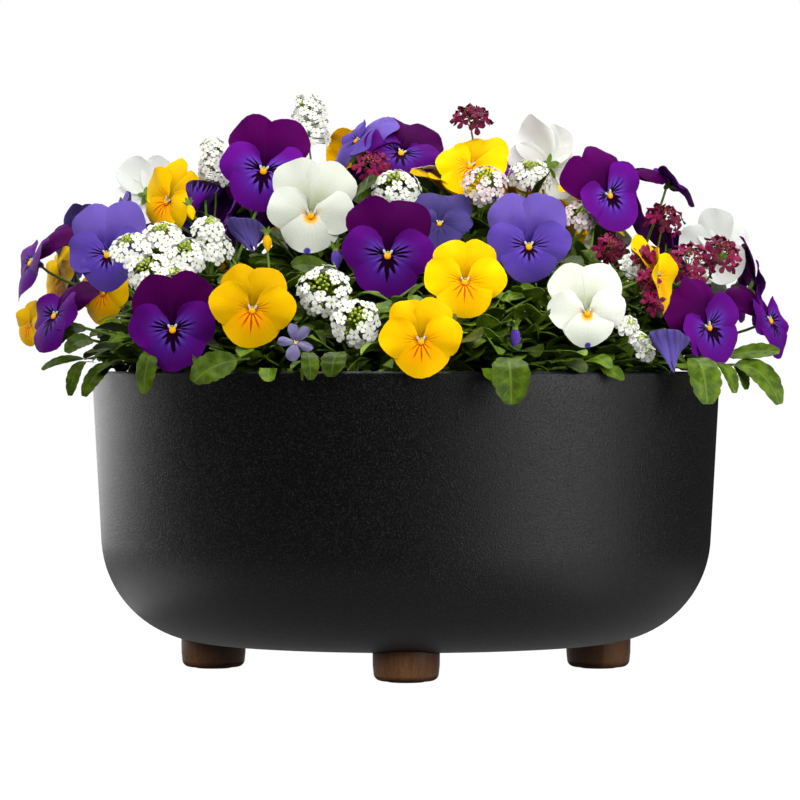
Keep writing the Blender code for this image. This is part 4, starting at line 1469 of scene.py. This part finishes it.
# Lights: name, place, width and height, power
SOFT_LIGHTS = (
    ("key", (0.5, -2.3, 1.9), (1.8, 1.4), 80.0),
    ("fill", (-1.7, -1.5, 1.2), (1.2, 1.2), 32.0),
    ("top", (0.0, 0.3, 2.3), (1.8, 1.8), 42.0),
    ("behind", (-0.2, 2.2, 1.3), (1.8, 1.2), 50.0),
)
LOW_LIGHTS = (
    ("sheen_right", (0.86, -0.66, 0.36), (0.75, 0.70), 6.4),
    ("edge_left", (-0.68, 0.80, 0.36), (0.80, 0.70), 5.4),
    ("side_left", (-1.0, 0.45, 0.36), (0.50, 0.70), 1.4),
)
# Patches of table that the bowl's coat mirrors softly: name, place, size, power
TABLE_GLOW = (
    ("table_near", (0.0, -0.10), (0.80, 0.50), 0.36),
    ("table_left", (-0.31, 0.01), (0.20, 0.32), 0.14),
    ("table_right", (0.42, -0.40), (0.50, 0.50), 0.60),
)
GLOW_HEIGHT = 4.0 * MM
CAMERA_PLACE = (-4.0 * MM, -2.816, 0.199)
CAMERA_AIM = (-4.0 * MM, 0.0, 0.1795)
FIELD_OF_VIEW = 10.88
SENSOR_WIDTH = 36.0


def aim_at(thing, place, target):
    """Put a lamp or camera at a place, facing a target."""
    thing.location = place
    thing.rotation_euler = (Vector(target) - Vector(place)).to_track_quat("-Z", "Y").to_euler()


def add_area_light(name, place, target, size, power):
    light = bpy.data.lights.new(name, "AREA")
    light.shape = "RECTANGLE"
    light.size, light.size_y = size
    light.energy = power
    lamp = link(name, light)
    aim_at(lamp, place, target)
    lamp.visible_camera = False
    return lamp


def make_backdrop(name, points, faces, grey):
    """A plain glowing surface that lights nothing and shows in no reflection."""
    s = Shade(name + "_white", 0.9, specular=0.0, glow=1.0)
    s.colour((grey, grey, grey))
    s.put(s.shader.inputs["Emission Color"], (1.0, 1.0, 1.0))
    mesh = bpy.data.meshes.new(name)
    mesh.from_pydata(points, [], faces)
    mesh.materials.append(s.material)
    backdrop = link(name, mesh)
    backdrop.visible_diffuse = False
    backdrop.visible_glossy = False
    backdrop.visible_transmission = False
    return backdrop


def make_stage():
    """A pale floor and a white surround, both plain."""
    corners = [(-1, -1), (1, -1), (1, 1), (-1, 1)]
    make_backdrop("floor", [(x * FLOOR_HALF, y * FLOOR_HALF, 0.0) for x, y in corners], [(0, 1, 2, 3)], 0.04)
    points, faces = icosphere(3)
    dome = make_backdrop("surround", (points * SURROUND_RADIUS).tolist(), faces.tolist(), 0.0)
    dome.visible_shadow = False


def make_studio():
    """Soft light from above for the flowers, and low lights that draw the bowl's sheen and edges."""
    scene = bpy.context.scene
    world = bpy.data.worlds.new("studio")
    world.use_nodes = True
    background = world.node_tree.nodes["Background"]
    background.inputs["Color"].default_value = (1.0, 1.0, 1.0, 1.0)
    background.inputs["Strength"].default_value = 0.05
    scene.world = world
    scene.view_settings.view_transform = "Standard"
    for name, place, size, power in SOFT_LIGHTS:
        lamp = add_area_light(name, place, (0.0, 0.0, RIM_Z + 50.0 * MM), size, power)
        lamp.visible_glossy = name == "top"
    for name, place, size, power in LOW_LIGHTS:
        lamp = add_area_light(name, place, (0.0, 0.0, 100.0 * MM), size, power)
        lamp.visible_diffuse = name == "sheen_right"
    for name, (x, y), size, power in TABLE_GLOW:
        lamp = add_area_light(name, (x, y, GLOW_HEIGHT), (x, y, 1.0), size, power)
        lamp.visible_diffuse = False


def make_camera():
    data = bpy.data.cameras.new("camera")
    data.sensor_width = SENSOR_WIDTH
    data.lens = SENSOR_WIDTH / 2 / math.tan(math.radians(FIELD_OF_VIEW / 2))
    data.clip_start, data.clip_end = 0.1, 200.0
    camera = link("camera", data)
    aim_at(camera, CAMERA_PLACE, CAMERA_AIM)
    bpy.context.scene.camera = camera


make_camera()
make_stage()
make_studio()
make_materials()
make_bowl()
for foot_place in ("front", "right", "rear", "left"):
    make_foot(foot_place)
dress_cad_nodes()
make_soil(np.random.default_rng(SEED + 1))
make_planting()
